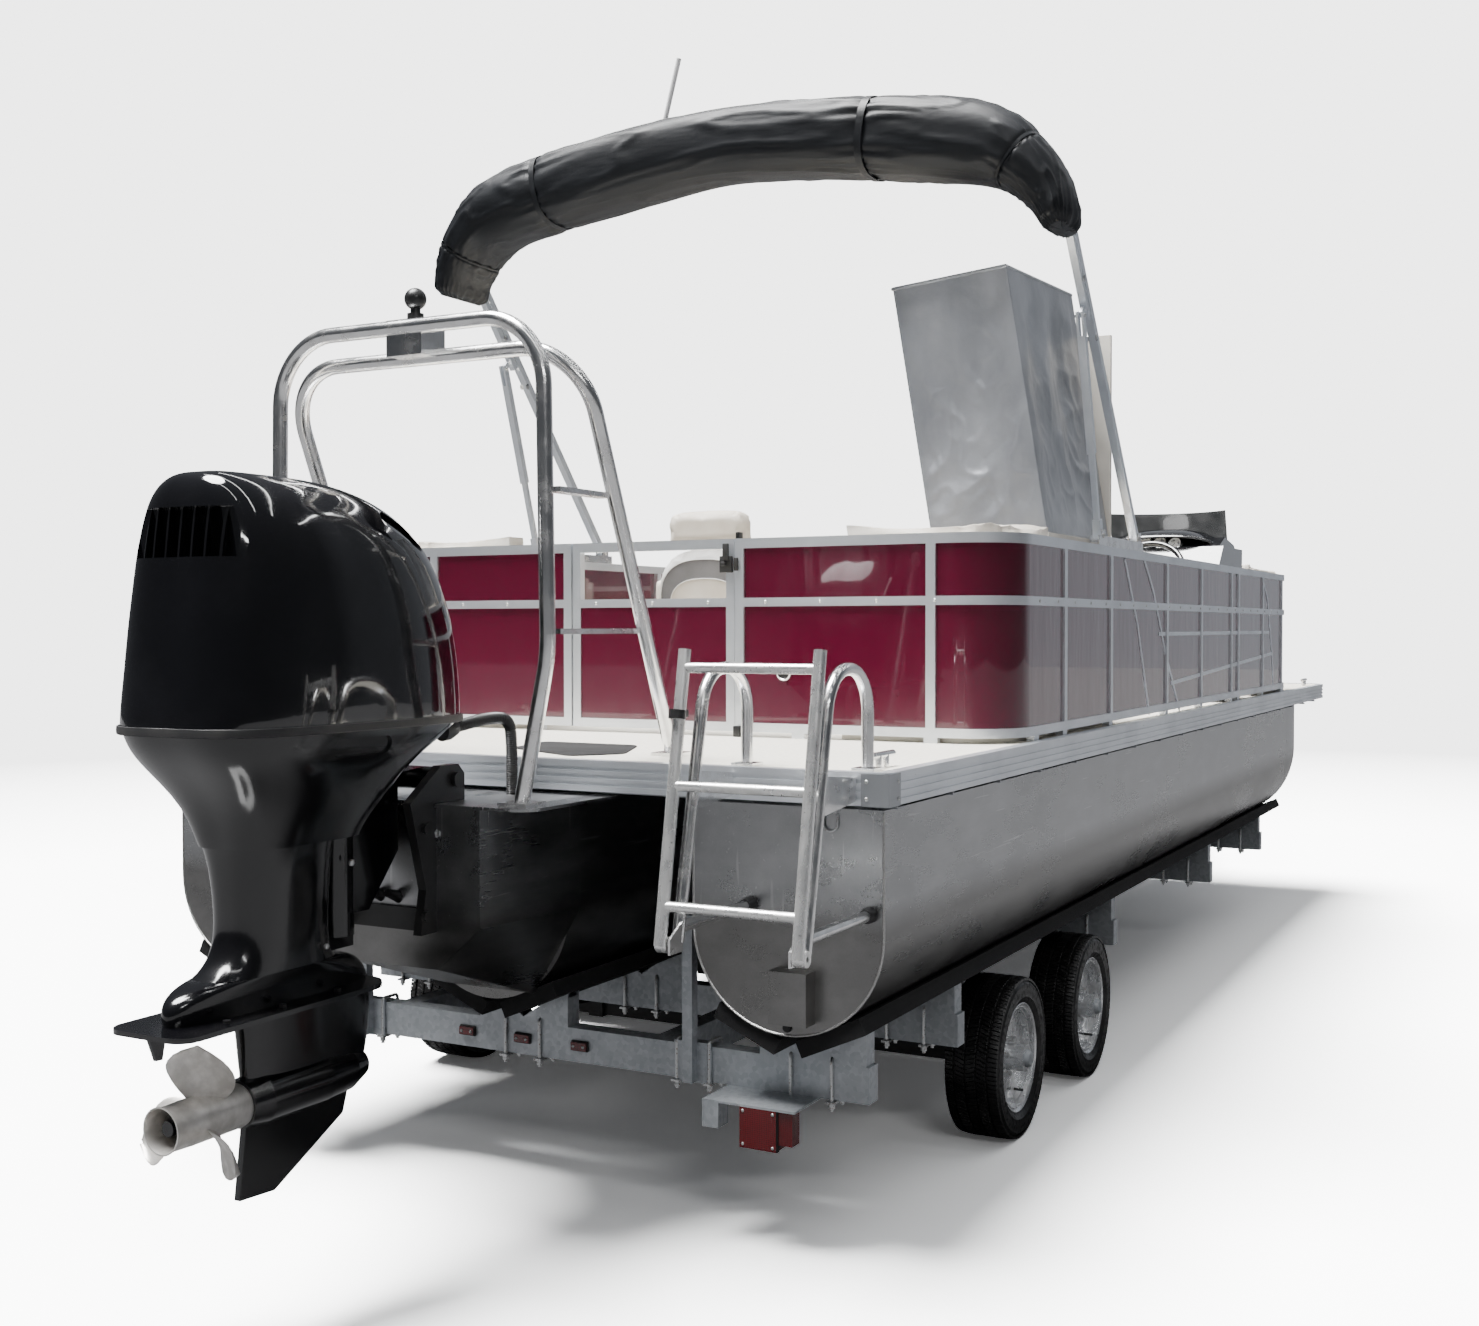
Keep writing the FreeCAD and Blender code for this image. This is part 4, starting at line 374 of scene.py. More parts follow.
upright = Vector((0, 0, 1))
bolt_spots = [(at(x, y + dy, cross_top), upright) for x in cross_places for y in bracket_places
              for dy in (-0.062, 0.062)]
bolt_spots += [(at(cross_places[0], side * (0.590 + dy), cross_top), upright) for side in (-1, 1)
               for dy in (-0.052, 0.052)]


def zinc_finish():
    s = start_finish("bright_zinc")
    rust = blotches(s, 160.0, 4.0, 0.58, 0.72)
    return close(s, {"Base Color": tint(s, rust, (0.60, 0.61, 0.61), (0.24, 0.13, 0.07)), "Metallic": 0.85,
                     "Roughness": graded(s, rust, 0.3, 0.7)}, noise(s, 700.0, 2.0), 0.0002)


bright_zinc = zinc_finish()
repeated("trailer_u_bolts", u_bolt(), bolt_spots, bright_zinc)


# The axles are square steel tube painted satin black. Leaf springs stand on them and carry the long beams
# by hangers that are welded underneath.
def satin_black(name, gray, rough):
    s = start_finish(name)
    dust = blotches(s, 9.0, 6.0, 0.45, 0.75)
    return close(s, {"Base Color": tint(s, dust, (gray, gray, gray * 1.05), (gray * 2.2, gray * 2.1, gray * 2.0)),
                     "Roughness": graded(s, dust, rough, rough + 0.2)}, noise(s, 240.0, 2.0), 0.0002)


axle_paint = satin_black("axle_paint", 0.010, 0.4)
coat_nodes(axle_paint, "trailer_axles")


# The bunks are wooden planks on the trailer's brackets. They are wrapped in black marine carpet, stapled
# along its lower edge, so that the logs slide on them unmarked.
def carpet_finish():
    s = start_finish("bunk_carpet")
    fuzz = noise(s, 900.0, 3.0)
    worn = blotches(s, 5.0, 5.0, 0.45, 0.7, (0.3, 1, 1))
    return close(s, {"Base Color": tint(s, worn * 0.5 + fuzz * 0.3, (0.004, 0.004, 0.005), (0.022, 0.021, 0.021)),
                     "Roughness": 0.95}, fuzz, 0.0015)


bunk_carpet = carpet_finish()
coat_nodes(bunk_carpet, "trailer_bunks")


# The tail lamps are moulded red lenses screwed on black bases under steel brackets, with a row of
# small clearance lamps on the rear cross member between them.
def lens_finish():
    s = start_finish("red_lens")
    prisms = s.node("TexVoronoi", {"feature": "F1", "distance": "CHEBYCHEV"},
                    {"Vector": spread(s), "Scale": 190.0, "Randomness": 0.0}, out="Distance")
    depth = between(s, prisms, 0.1, 0.6)
    return close(s, {"Base Color": tint(s, depth, (0.16, 0.003, 0.007), (0.045, 0.001, 0.002)), "Roughness": 0.14,
                     "Coat Weight": 0.7, "Coat Roughness": 0.04}, prisms, 0.0015)


red_lens = lens_finish()
lamp_black = satin_black("lamp_base", 0.006, 0.45)
coat_nodes(red_lens, "trailer_lamps")


def screw_mesh(radius, height, slot=True):
    """A pan head with a hollow in it, or plain, its face towards +Z."""
    form = bmesh.new()
    turned(form, [(-0.5 * height, 0), (-0.5 * height, radius), (0.35 * height, radius),
                  (0.8 * height, 0.75 * radius), (height, 0.3 * radius), (0.55 * height if slot else height, 0)],
           (0, 0, 0), (0, 0, 1), 10)
    return finished_mesh("screw", form, None)


lamp_low, lamp_high, lamp_aft, lamp_y = 0.289, 0.399, 0.110, 0.870
clearance_face, clearance_pitch = 0.246, 0.205
lamp_form = bmesh.new()
lamp_spots = []
aft = Vector((-1, 0, 0))
for side in (-1, 1):
    middle = side * lamp_y
    slab(lamp_form, at(0.113, middle - 0.058, 0.286), at(0.128, middle + 0.058, 0.3985), 0.003)
    seam = side * (lamp_y + 0.0555)
    slab(lamp_form, at(0.1145, seam - 0.0035, 0.300), at(0.165, seam + 0.0035, 0.3985), 0.001)
    for dy in (-0.045, 0.045):
        for z in (lamp_low + 0.010, lamp_high - 0.010):
            lamp_spots.append((at(lamp_aft, middle + dy, z), aft))
for step in (-1, 0, 1):
    y = step * clearance_pitch
    for dy in (-0.017, 0.017):
        lamp_spots.append((at(clearance_face, y + dy, 0.455), aft))
    slab(lamp_form, at(0.252, y - 0.030, 0.439), at(0.2605, y + 0.030, 0.471), 0.004)
make("lamp_bases", lamp_form, lamp_black)
repeated("lamp_screws", screw_mesh(0.0045, 0.003), lamp_spots, bright_zinc)


# The tyres are bias trailer tyres: a carcass with moulded rings on its walls, and blocks of tread
# in five rows, notched alike all round.
def tyre_finish():
    s = start_finish("tyre_rubber")
    dust = blotches(s, 14.0, 6.0, 0.45, 0.8)
    wet = blotches(s, 60.0, 4.0, 0.5, 0.62)
    return close(s, {"Base Color": tint(s, dust, (0.006, 0.006, 0.006), (0.022, 0.021, 0.020)),
                     "Roughness": graded(s, wet, 0.34, 0.62)}, noise(s, 300.0, 3.0), 0.0006)


def rim_finish():
    s = start_finish("rim_silver")
    grime = blotches(s, 20.0, 5.0, 0.5, 0.8)
    return close(s, {"Base Color": tint(s, grime, (0.80, 0.81, 0.82), (0.46, 0.455, 0.45)), "Metallic": 0.75,
                     "Roughness": graded(s, grime, 0.25, 0.5)})


tyre_rubber, rim_silver = tyre_finish(), rim_finish()
tyre_radius, wheel_y = 0.266, 1.090
axle_places = {"rear": 1.424, "front": 2.260}
wall_half = [(0.0, 0.2585), (0.060, 0.2575), (0.078, 0.2555), (0.0860, 0.2490), (0.0905, 0.2410),
             (0.0895, 0.2380), (0.0908, 0.2280), (0.0905, 0.2150), (0.0880, 0.2030), (0.0892, 0.2000),
             (0.0872, 0.1970), (0.0835, 0.1890), (0.0790, 0.1830), (0.0745, 0.1775)]
tread_steps, tread_radius = 58, 0.2648


def tread_set():
    """One step of the tread: five blocks across, the outer two running down over the shoulder."""
    form = bmesh.new()
    length = 2 * math.pi * 0.262 / tread_steps
    for middle, half, shift, skew in ((-0.073, 0.0135, 0.0, 0.1), (-0.0365, 0.0150, 0.5, 0.35),
                                      (0.0, 0.0155, 0.1, -0.3), (0.0365, 0.0150, 0.6, 0.35),
                                      (0.073, 0.0135, 0.2, 0.1)):
        base, top = -0.009, 0.0
        for part in (-1, 1):
            along = (part * 0.245 + shift - 0.3) * length
            deep = 0.205 * length
            drop = 0.0035 if abs(middle) > 0.05 else 0.0
            rings = []
            for z, grow in ((base, 1.1), (top - 0.001, 1.0), (top, 0.9)):
                ring = []
                for sx, sy in ((-1, -1), (1, -1), (1, 1), (-1, 1)):
                    y = middle + sy * half * grow
                    outer = drop if abs(y) > abs(middle) else 0.0
                    ring.append((along + sx * deep * grow + skew * sy * half, y, z - outer))
                rings.append(ring)
            skin(form, rings)
    return finished_mesh("tread_set", form, None, 30.0)


tread_blocks = tread_set()
wheels = [(end + "_" + side_name, side, at(axle_x, side * wheel_y, tyre_radius))
          for end, axle_x in axle_places.items() for side_name, side in (("starboard", -1), ("port", 1))]
wall = [(-d, r) for d, r in wall_half[:0:-1]] + wall_half + [(0.0745, 0.1765), (-0.0745, 0.1765)]
for wheel, side, center in wheels:
    carcass = bmesh.new()
    turned(carcass, wall, center, (0, 1, 0), 72)
    make("tyre_carcass_" + wheel, carcass, tyre_rubber, "wheel_" + wheel, "tyre_" + wheel)
    ways = [Vector((math.sin(a), 0, math.cos(a))) for a in circle(tread_steps, 0.3)]
    repeated("tyre_tread_" + wheel, tread_blocks, [(center + way * tread_radius, way) for way in ways],
             tyre_rubber, "wheel_" + wheel)


# The rims are pressed steel, painted silver: a stepped barrel, a centre held by five nuts on the galvanised
# hub, a grease cap and a rubber valve.
barrel_outline = [(0.0745, 0.1765), (0.0790, 0.1790), (0.0800, 0.1765), (0.0755, 0.1690), (0.0600, 0.1660),
                  (0.0570, 0.1580), (0.0380, 0.1560), (0.0340, 0.1460), (0.0270, 0.1400), (0.0250, 0.1640)]
for wheel, side, center in wheels:
    coat_nodes(rim_silver, "rim_" + wheel)
    outward = Vector((0, side, 0))
    turning("rim_barrel_" + wheel, barrel_outline, [(center, outward)], rim_silver, "wheel_" + wheel, 64)
    turning("hub_cap_" + wheel, [(0.085, 0), (0.085, 0.030), (0.108, 0.029), (0.118, 0.022), (0.121, 0)],
            [(center, outward)], galvanised, "wheel_" + wheel, 28)
    nut = bmesh.new()
    turned(nut, [(0.0, 0), (0.0, 0.0125), (0.004, 0.0105), (0.020, 0.0105), (0.024, 0.006), (0.024, 0)],
           (0, 0, 0), (0, 0, 1), 6)
    nut_seat, nut_circle = center + outward * 0.0395, 0.058
    repeated("wheel_nuts_" + wheel, finished_mesh("nut", nut, None),
             [(nut_seat + Vector((math.sin(a), 0, math.cos(a))) * nut_circle, outward) for a in circle(5)],
             bright_zinc, "wheel_" + wheel)
    valve = bmesh.new()
    foot = center + Vector((0.06, 0, -0.125)) + outward * 0.035
    bar(valve, [foot, foot + outward * 0.020, foot + outward * 0.036], 0.0045, 10)
    make("wheel_valve_" + wheel, valve, lamp_black, "wheel_" + wheel)


# The three logs are rolled aluminium sheet, left bare: a mill grain along their length, scratches and
# drips down their sides, and a stern plate welded on with a bead and stained where water has stood. Their
# sides carry a painted reflection: the colour is darker below about mid height and lighter above it.
def log_finish():
    s = start_finish("log_aluminium")
    grain = noise(s, 240.0, 4.0, (0.05, 1, 1))
    bloom = blotches(s, 2.6, 6.0, 0.36, 0.64, (0.5, 1, 1))
    clouds = blotches(s, 9.0, 5.0, 0.42, 0.68, (0.5, 1, 1.5))
    drips = blotches(s, 46.0, 2.0, 0.70, 0.75, (1, 1, 0.06))
    scratch = blotches(s, 90.0, 2.0, 0.69, 0.73, (0.04, 1, 1), (0, 0.25, 0))
    pocks = between(s, cells(s, 22.0), 0.055, 0.035)
    # Painted reflection: below about mid height the colour is darker, for a dark floor, and above it lighter, for
    # bright air. The marks lie on the upper part only.
    high = between(s, height_of(s), 0.90, 0.98)
    marks = (drips * 0.35 + pocks * 0.6 + scratch * 0.4) * high
    mask = bloom * 0.45 + grain * 0.25 + clouds * 0.3
    shaded_low_tone = tint(s, mask, (0.15, 0.148, 0.145), (0.30, 0.296, 0.29))
    lit_high_tone = tint(s, mask, (0.29, 0.295, 0.30), (0.55, 0.555, 0.565))
    return close(s, {"Base Color": tint(s, marks, tint(s, high, shaded_low_tone, lit_high_tone), (0.80, 0.80, 0.80)),
                     "Metallic": 1.0, "Roughness": between(s, mask + marks * 0.5, 0.0, 1.3, 0.20, 0.50)},
                 grain * 0.3 + scratch * 0.2 + clouds * 0.3, 0.0006)


log_aluminium = log_finish()
coat_nodes(log_aluminium, "hull_tube_starboard", "hull_tube_port", "hull_tube_center")


def weld_finish():
    s = start_finish("weld_bead")
    scales = cells(s, 320.0)
    return close(s, {"Base Color": tint(s, scales, (0.62, 0.62, 0.61), (0.36, 0.35, 0.34)), "Metallic": 0.9,
                     "Roughness": 0.36}, scales, 0.0008)


weld_bead = weld_finish()
log_y, log_height, log_radius = 0.960, 0.890, 0.280
beads, rings, plugs = bmesh.new(), bmesh.new(), bmesh.new()


def hanging_arc(ends_x, low_x, y, top, height, radius, steps):
    """A half circle open upwards, each end run on up to the top."""
    arc = [at(low_x, y - radius * math.cos(a), height - radius * math.sin(a))
           for a in (math.pi * k / steps for k in range(steps + 1))]
    return [at(ends_x, y - radius, top)] + arc + [at(ends_x, y + radius, top)]


for middle in (-log_y, log_y):
    bar(beads, hanging_arc(0.1005, 0.1005, middle, 1.215, log_height, log_radius, 28), 0.0035, 6)
    bar(rings, hanging_arc(0.0975, 0.094, middle - 0.132, 1.206, 1.180, 0.020, 10), 0.0035, 8)
    turned(plugs, [(-0.012, 0), (-0.012, 0.012), (-0.004, 0.013), (0.0, 0.011), (0.0, 0)],
           at(0.0915, middle - 0.005, 0.632), (-1, 0, 0), 16)
make("log_beads", beads, weld_bead)
make("log_tie_rings", rings, bright_zinc)
make("drain_plugs", plugs, lamp_black)


# The deck: Z-section joists across the logs, marine board under woven vinyl, and a fluted edge extrusion
# with a smooth riveted cap on each stern corner.
def extrusion_finish(name, light):
    s = start_finish(name)
    grain = noise(s, 420.0, 3.0, (0.03, 1, 1))
    smudge = blotches(s, 5.0, 5.0, 0.4, 0.7)
    mask = grain * 0.35 + smudge * 0.4
    return close(s, {"Base Color": tint(s, mask, (light * 0.95, light * 0.99, light * 1.04),
                                        (light * 0.68, light * 0.71, light * 0.75)),
                     "Metallic": 0.8, "Roughness": graded(s, mask, 0.26, 0.42)}, grain, 0.0001)


def deck_finish():
    s = start_finish("deck_vinyl")
    warp, weft = [s.node("TexWave", {"wave_type": "BANDS", "bands_direction": way},
                         {"Vector": spread(s), "Scale": 60.0, "Distortion": 1.0}) for way in "XY"]
    weave = warp * 0.5 + weft * 0.5
    fleck = noise(s, 75.0, 5.0)
    return close(s, {"Base Color": tint(s, fleck * 0.75 + weave * 0.25, (0.50, 0.465, 0.39), (0.88, 0.855, 0.78)),
                     "Roughness": 0.7}, weave, 0.0006)


frame_metal = extrusion_finish("frame_aluminium", 0.88)
joist_metal = extrusion_finish("joist_aluminium", 0.45)
deck_vinyl = deck_finish()
coat_nodes(joist_metal, "deck_joists")
coat_nodes(deck_vinyl, "deck_floor")
coat_nodes(frame_metal, "deck_edge")

cap_low, cap_high, cap_long, half_beam = 1.240, 1.3225, 0.075, 1.295
cap_form = bmesh.new()
rivet_spots = []
for side in (-1, 1):
    for low, high in (((-0.0015, side * half_beam, cap_low), (cap_long, side * (half_beam + 0.0015), cap_high)),
                      ((-0.0018, side * (half_beam + 0.0012), cap_low),
                       (0.0, side * (half_beam - cap_long), cap_high))):
        corners = [(min(a, b), max(a, b)) for a, b in zip(low, high)]
        slab(cap_form, at(*[c[0] for c in corners]), at(*[c[1] for c in corners]), 0.0)
    for z in (1.258, 1.302):
        rivet_spots.append((at(0.060, side * (half_beam + 0.0015), z), (0, side, 0)))
        rivet_spots.append((at(-0.0018, side * (half_beam - 0.060), z), (-1, 0, 0)))
make("deck_corner_caps", cap_form, joist_metal)


# A mat of black carpet lies loose on the stern deck behind the gate. It is cut flat, with rounded corners
# and a thin edge.
mat_finish = satin_black("deck_mat", 0.006, 0.85)
mat_corners = [Vector(c) for c in ((0.120, -0.265), (0.257, -0.363), (0.548, -0.230), (0.555, 0.123),
                                   (0.292, 0.062))]


def rounded(corners, radius, steps=6):
    """The outline of a plan with each corner turned on a small curve."""
    outline = []
    for i, corner in enumerate(corners):
        before = (corners[i - 1] - corner).normalized() * radius
        after = (corners[(i + 1) % len(corners)] - corner).normalized() * radius
        for k in range(steps + 1):
            t = k / steps
            outline.append(corner + before * (1 - t) ** 2 + after * t ** 2)
    return outline


mat = bmesh.new()
plan = rounded(mat_corners, 0.035)
middle = sum(mat_corners, Vector((0, 0))) / len(mat_corners)
skin(mat, [[at(*(middle + (p - middle) * grow), z) for p in plan]
           for z, grow in ((1.3232, 1.0), (1.3262, 1.0), (1.3275, 0.985))])
make("deck_mat", mat, mat_finish)


# The deck's fittings are polished castings, bolted down: a mooring cleat near each corner, and the two
# mounts that the folding top turns on.
def polished_finish(name, light, rough):
    s = start_finish(name)
    haze = blotches(s, 18.0, 5.0, 0.4, 0.75)
    worn = (light * 0.78, light * 0.77, light * 0.76)
    return close(s, {"Base Color": tint(s, haze, (light, light, light), worn), "Metallic": 1.0,
                     "Roughness": graded(s, haze, rough, rough + 0.16)}, noise(s, 500.0, 2.0), 0.00005)


tube_polished = polished_finish("tube_polished", 0.90, 0.17)
coat_nodes(tube_polished, "deck_fittings")


# The fence: square aluminium tube with thin sheet behind it, the sheet painted a deep glossy crimson
# and held to the middle rail by a row of screws.
def crimson_finish():
    s = start_finish("panel_crimson")
    waves = noise(s, 2.6, 2.0, (1, 1, 0.25))
    ripples = noise(s, 9.0, 2.0, (1.6, 1.6, 0.35))
    return close(s, {"Base Color": (0.068, 0.0006, 0.0130, 1.0), "Roughness": 0.22, "Coat Weight": 1.0,
                     "Coat Roughness": 0.03}, waves * 0.7 + ripples * 0.3, 0.012)


panel_crimson = crimson_finish()
coat_nodes(frame_metal, "fence_frame_starboard", "fence_frame_port", "stern_gate_frame", "bow_gate_frame",
           "side_gate_frame")
coat_nodes(panel_crimson, "fence_panels_starboard", "fence_panels_port", "stern_gate_panel", "bow_gate_panel",
           "side_gate_panel")

fence_half, side_gate_y, rail_z, screw_pitch = 1.2532, 1.2493, 1.7745, 0.1985
fence_aft, stern_gate_x, bow_gate_x, fence_fore = 1.0788, 1.0828, 6.2192, 6.2232
rail_screw = screw_mesh(0.0058, 0.0032)
hull_screws, side_screws = [], []
x = 1.36
while x < 6.0:
    for side in (-1, 1):
        if side > 0 and 3.90 < x < 4.57:
            side_screws.append((at(x, side_gate_y, rail_z), (0, 1, 0)))
        else:
            hull_screws.append((at(x, side * fence_half, rail_z), (0, side, 0)))
    x += screw_pitch


def screws_across(x, way, *places):
    return [(at(x, y, rail_z), (way, 0, 0)) for y in places]


hull_screws += screws_across(fence_aft, -1, -1.00, -0.80, -0.60, -0.40, 0.45, 0.65, 0.85, 1.02)
stern_screws = screws_across(stern_gate_x, -1, -0.18, 0.04, 0.27)
bow_screws = screws_across(bow_gate_x, 1, -0.18, 0.04, 0.27)
hull_screws += screws_across(fence_fore, 1, -0.90, -0.65, -0.42, 0.42, 0.65, 0.90)
repeated("rail_screws", rail_screw, hull_screws + rivet_spots, bright_zinc)
repeated("side_gate_screws", rail_screw, side_screws, bright_zinc, "side_gate")
repeated("stern_gate_screws", rail_screw, stern_screws, bright_zinc, "stern_gate")
repeated("bow_gate_screws", rail_screw, bow_screws, bright_zinc, "bow_gate")


# The stern gate is held by a black nylon latch at its free end and stands over a rubber foot stop;
# a light socket with a bright ring is let into the panel beside it.
nylon = satin_black("black_nylon", 0.010, 0.35)
latch = bmesh.new()
slab(latch, at(1.066, -0.2780, 1.874), at(1.0828, -0.2330, 1.930), 0.003)
slab(latch, at(1.058, -0.2700, 1.915), at(1.0700, -0.2480, 1.972), 0.004)
slab(latch, at(1.052, -0.2620, 1.896), at(1.0660, -0.2440, 1.910), 0.003)
make("gate_latch", latch, nylon, "stern_gate")
stops = bmesh.new()
slab(stops, at(1.083, -0.3000, 1.9882), at(1.1120, -0.2865, 2.010), 0.002)
slab(stops, at(1.060, -0.3120, 1.3235), at(1.0785, -0.2870, 1.3600), 0.003)
slab(stops, at(1.066, -0.3000, 1.8800), at(1.0786, -0.2880, 1.9240), 0.002)
make("gate_stops", stops, nylon)
turning("bow_post_knob", [(0.0, 0), (0.0, 0.010), (0.014, 0.009), (0.016, 0.016), (0.026, 0.017), (0.031, 0.010),
                          (0.032, 0)], [(at(fence_fore, -0.42, 1.65), (1, 0, 0))], nylon, steps=20)

light_socket = [(at(1.0868, -0.466, 1.539), (-1, 0, 0))]
turning("socket_ring", [(-0.002, 0.0195), (0.004, 0.0195), (0.006, 0.0215), (0.004, 0.0260), (0.0, 0.0272),
                        (-0.002, 0.0272)], light_socket, tube_polished, steps=36)
turning("socket_cup", [(-0.002, 0), (-0.002, 0.0198), (0.0035, 0.0198), (0.001, 0.0150), (0.001, 0)],
        light_socket, nylon, steps=32)


# The tow arch is polished stainless tube in two hoops, joined by welded steps and a plate. A tow knob of
# black rubber is screwed on its crown.
coat_nodes(tube_polished, "tow_arch")
knob_rubber = satin_black("knob_rubber", 0.010, 0.32)
coat_nodes(knob_rubber, "tow_knob")


# The boarding ladder is aluminium tube, dulled by handling: two hoops and a folding frame of rungs, held
# up by a nylon clip and standing off the log on rubber-ended stubs.
def ladder_finish():
    s = start_finish("ladder_tube")
    worn = blotches(s, 24.0, 6.0, 0.42, 0.66, (1, 1, 0.4))
    nicks = blotches(s, 130.0, 3.0, 0.66, 0.72)
    return close(s, {"Base Color": tint(s, nicks * 0.7, tint(s, worn, (0.92, 0.92, 0.91), (0.74, 0.735, 0.72)),
                                        (0.16, 0.16, 0.16)),
                     "Metallic": 0.85, "Roughness": graded(s, worn, 0.22, 0.42)}, worn, 0.0003)


ladder_tube = ladder_finish()
coat_nodes(ladder_tube, "ladder_folding")
coat_nodes(tube_polished, "ladder_handrails")
ladder_y, rail_half = -1.027, 0.174
turning("ladder_buffers", [(0.0, 0), (0.0, 0.0215), (0.022, 0.0205), (0.030, 0.0175), (0.030, 0)],
        [(at(0.0998, ladder_y + side * rail_half, 0.950), (-1, 0, 0)) for side in (-1, 1)], nylon)
clip = bmesh.new()
turned(clip, [(-0.011, 0.0165), (-0.011, 0.0215), (0.011, 0.0215), (0.011, 0.0165)],
       at(-0.2650, ladder_y + 0.186, 1.475), (0.16, 0, 1), 24)
slab(clip, at(-0.2500, ladder_y + 0.176, 1.466), at(-0.2230, ladder_y + 0.196, 1.486), 0.003)
make("ladder_clip", clip, nylon, "ladder_fold")


# The lounges are moulded seat boxes with foam cushions on them, sewn in soft cream vinyl: a seat, and a
# back that turns into a padded end. Channels are sewn across the seats, and upright in the backs.
def vinyl_finish(name, color, shadow, rough=0.42):
    s = start_finish(name)
    pebble = cells(s, 480.0, feature="DISTANCE_TO_EDGE")
    soft = blotches(s, 7.0, 4.0, 0.35, 0.7)
    return close(s, {"Base Color": tint(s, soft, shadow, color), "Roughness": rough},
                 between(s, pebble, 0.0, 0.12), 0.0003)


def moulded_finish(name, color, rough, coat=0.0):
    s = start_finish(name)
    haze = blotches(s, 11.0, 4.0, 0.4, 0.75)
    worn = tuple(min(1.0, c * 1.12 + 0.003) for c in color)
    return close(s, {"Base Color": tint(s, haze, color, worn),
                     "Roughness": graded(s, haze, rough, rough + 0.12), "Coat Weight": coat,
                     "Coat Roughness": 0.04}, noise(s, 700.0, 2.0), 0.0002)


cream_vinyl = vinyl_finish("cream_vinyl", (0.78, 0.73, 0.65), (0.66, 0.60, 0.51))
white_vinyl = vinyl_finish("white_vinyl", (0.86, 0.86, 0.85), (0.74, 0.73, 0.71), 0.36)
gray_vinyl = vinyl_finish("gray_vinyl", (0.21, 0.205, 0.21), (0.15, 0.147, 0.15))
furniture_shell = moulded_finish("furniture_shell", (0.66, 0.62, 0.55), 0.45)
coat_nodes(furniture_shell, "lounge_bases", "changing_room_base", "changing_room_lid")


def solids_of(node):
    """The separate closed shapes in a copy of a node's mesh, with their doubles merged."""
    whole = bmesh.new()
    whole.from_mesh(nodes[node].data)
    bmesh.ops.remove_doubles(whole, verts=whole.verts, dist=1e-5)
    forms = []
    for seed in whole.verts:
        if seed.tag:
            continue
        seed.tag = True
        group = [seed]
        for v in group:
            for edge in v.link_edges:
                near = edge.other_vert(v)
                if not near.tag:
                    near.tag = True
                    group.append(near)
        form = bmesh.new()
        copies = {v: form.verts.new(v.co) for v in group}
        seen = set()
        for v in group:
            for face in v.link_faces:
                if face.index not in seen:
                    seen.add(face.index)
                    form.faces.new([copies[w] for w in face.verts])
        forms.append(form)
    whole.free()
    return forms


def modified(piece, kind, **settings):
    modifier = piece.modifiers.new(kind.lower(), kind)
    for name, value in settings.items():
        setattr(modifier, name, value)
    return modifier


def bake(piece):
    """Takes the evaluated shape as the piece's own mesh and drops its modifiers."""
    graph = bpy.context.evaluated_depsgraph_get()
    mesh = bpy.data.meshes.new_from_object(piece.evaluated_get(graph), depsgraph=graph)
    piece.modifiers.clear()
    piece.data = mesh
    return mesh


def stuff(forms, material, voxel, shrink, swell, press=4.0):
    """Fills covers with foam: each closed form is drawn in, blown up as cloth, and smoothed."""
    pieces = []
    for name, form in forms:
        piece = place_in_scene(name, finished_mesh(name, form, material, 180.0))
        modified(piece, "REMESH", mode="VOXEL", voxel_size=voxel, use_smooth_shade=True)
        mesh = bake(piece)
        for v, normal in zip(mesh.vertices, [v.normal.copy() for v in mesh.vertices]):
            v.co -= normal * shrink
        pieces.append(piece)
    starts = [[v.co.copy() for v in piece.data.vertices] for piece in pieces]
    for piece in pieces:
        cloth = modified(piece, "CLOTH")
        cloth.settings.use_pressure = True
        cloth.settings.uniform_pressure_force = press
        cloth.settings.effector_weights.gravity = 0.0
        cloth.settings.quality = 4
    for step in range(1, 21):
        bpy.context.scene.frame_set(step)
    for piece, start in zip(pieces, starts):
        mesh = bake(piece)
        for v, old in zip(mesh.vertices, start):
            move = v.co - old
            if move.length > swell:
                v.co = old + move * (swell / move.length)
    bpy.context.scene.frame_set(1)
    for piece in pieces:
        modified(piece, "SUBSURF", levels=1, render_levels=1)
        mesh = bake(piece)
        mesh.materials.clear()
        mesh.materials.append(material)
        mesh.polygons.foreach_set("use_smooth", [True] * len(mesh.polygons))
    return pieces


def press_channels(piece, axis, places, width=0.012, depth=0.007, only=None):
    """Draws a cushion's cover in along sewn lines that cross it."""
    for v, normal in zip(piece.data.vertices, [v.normal.copy() for v in piece.data.vertices]):
        if only and not only(v.co, normal):
            continue
        near = min(abs(v.co[axis] - place) for place in places)
        v.co -= normal * depth * math.exp(-(near / width) ** 2)


lounge_forms = solids_of("lounge_cushions")
cushions = stuff([("lounge_cushion_%d" % k, form) for k, form in enumerate(lounge_forms)], cream_vinyl, 0.018,
                 0.010, 0.020)
for piece in cushions:
    low, high = [[f(v.co[i] for v in piece.data.vertices) for i in range(3)] for f in (min, max)]
    if high[2] < 1.80:
        count = max(1, round((high[0] - low[0]) / 0.32))
        press_channels(piece, 0, [low[0] + (high[0] - low[0]) * (k + 1) / (count + 1) for k in range(count)],
                       only=lambda p, n: n.z > 0.5)
    else:
        count = max(1, round((high[0] - low[0]) / 0.24))
        press_channels(piece, 0, [low[0] + (high[0] - low[0]) * (k + 0.5) / count for k in range(count)],
                       only=lambda p, n: abs(n.y) > 0.5 or abs(n.z) > 0.6)
    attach(piece, "hull_and_trailer")
    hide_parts("lounge_cushions")


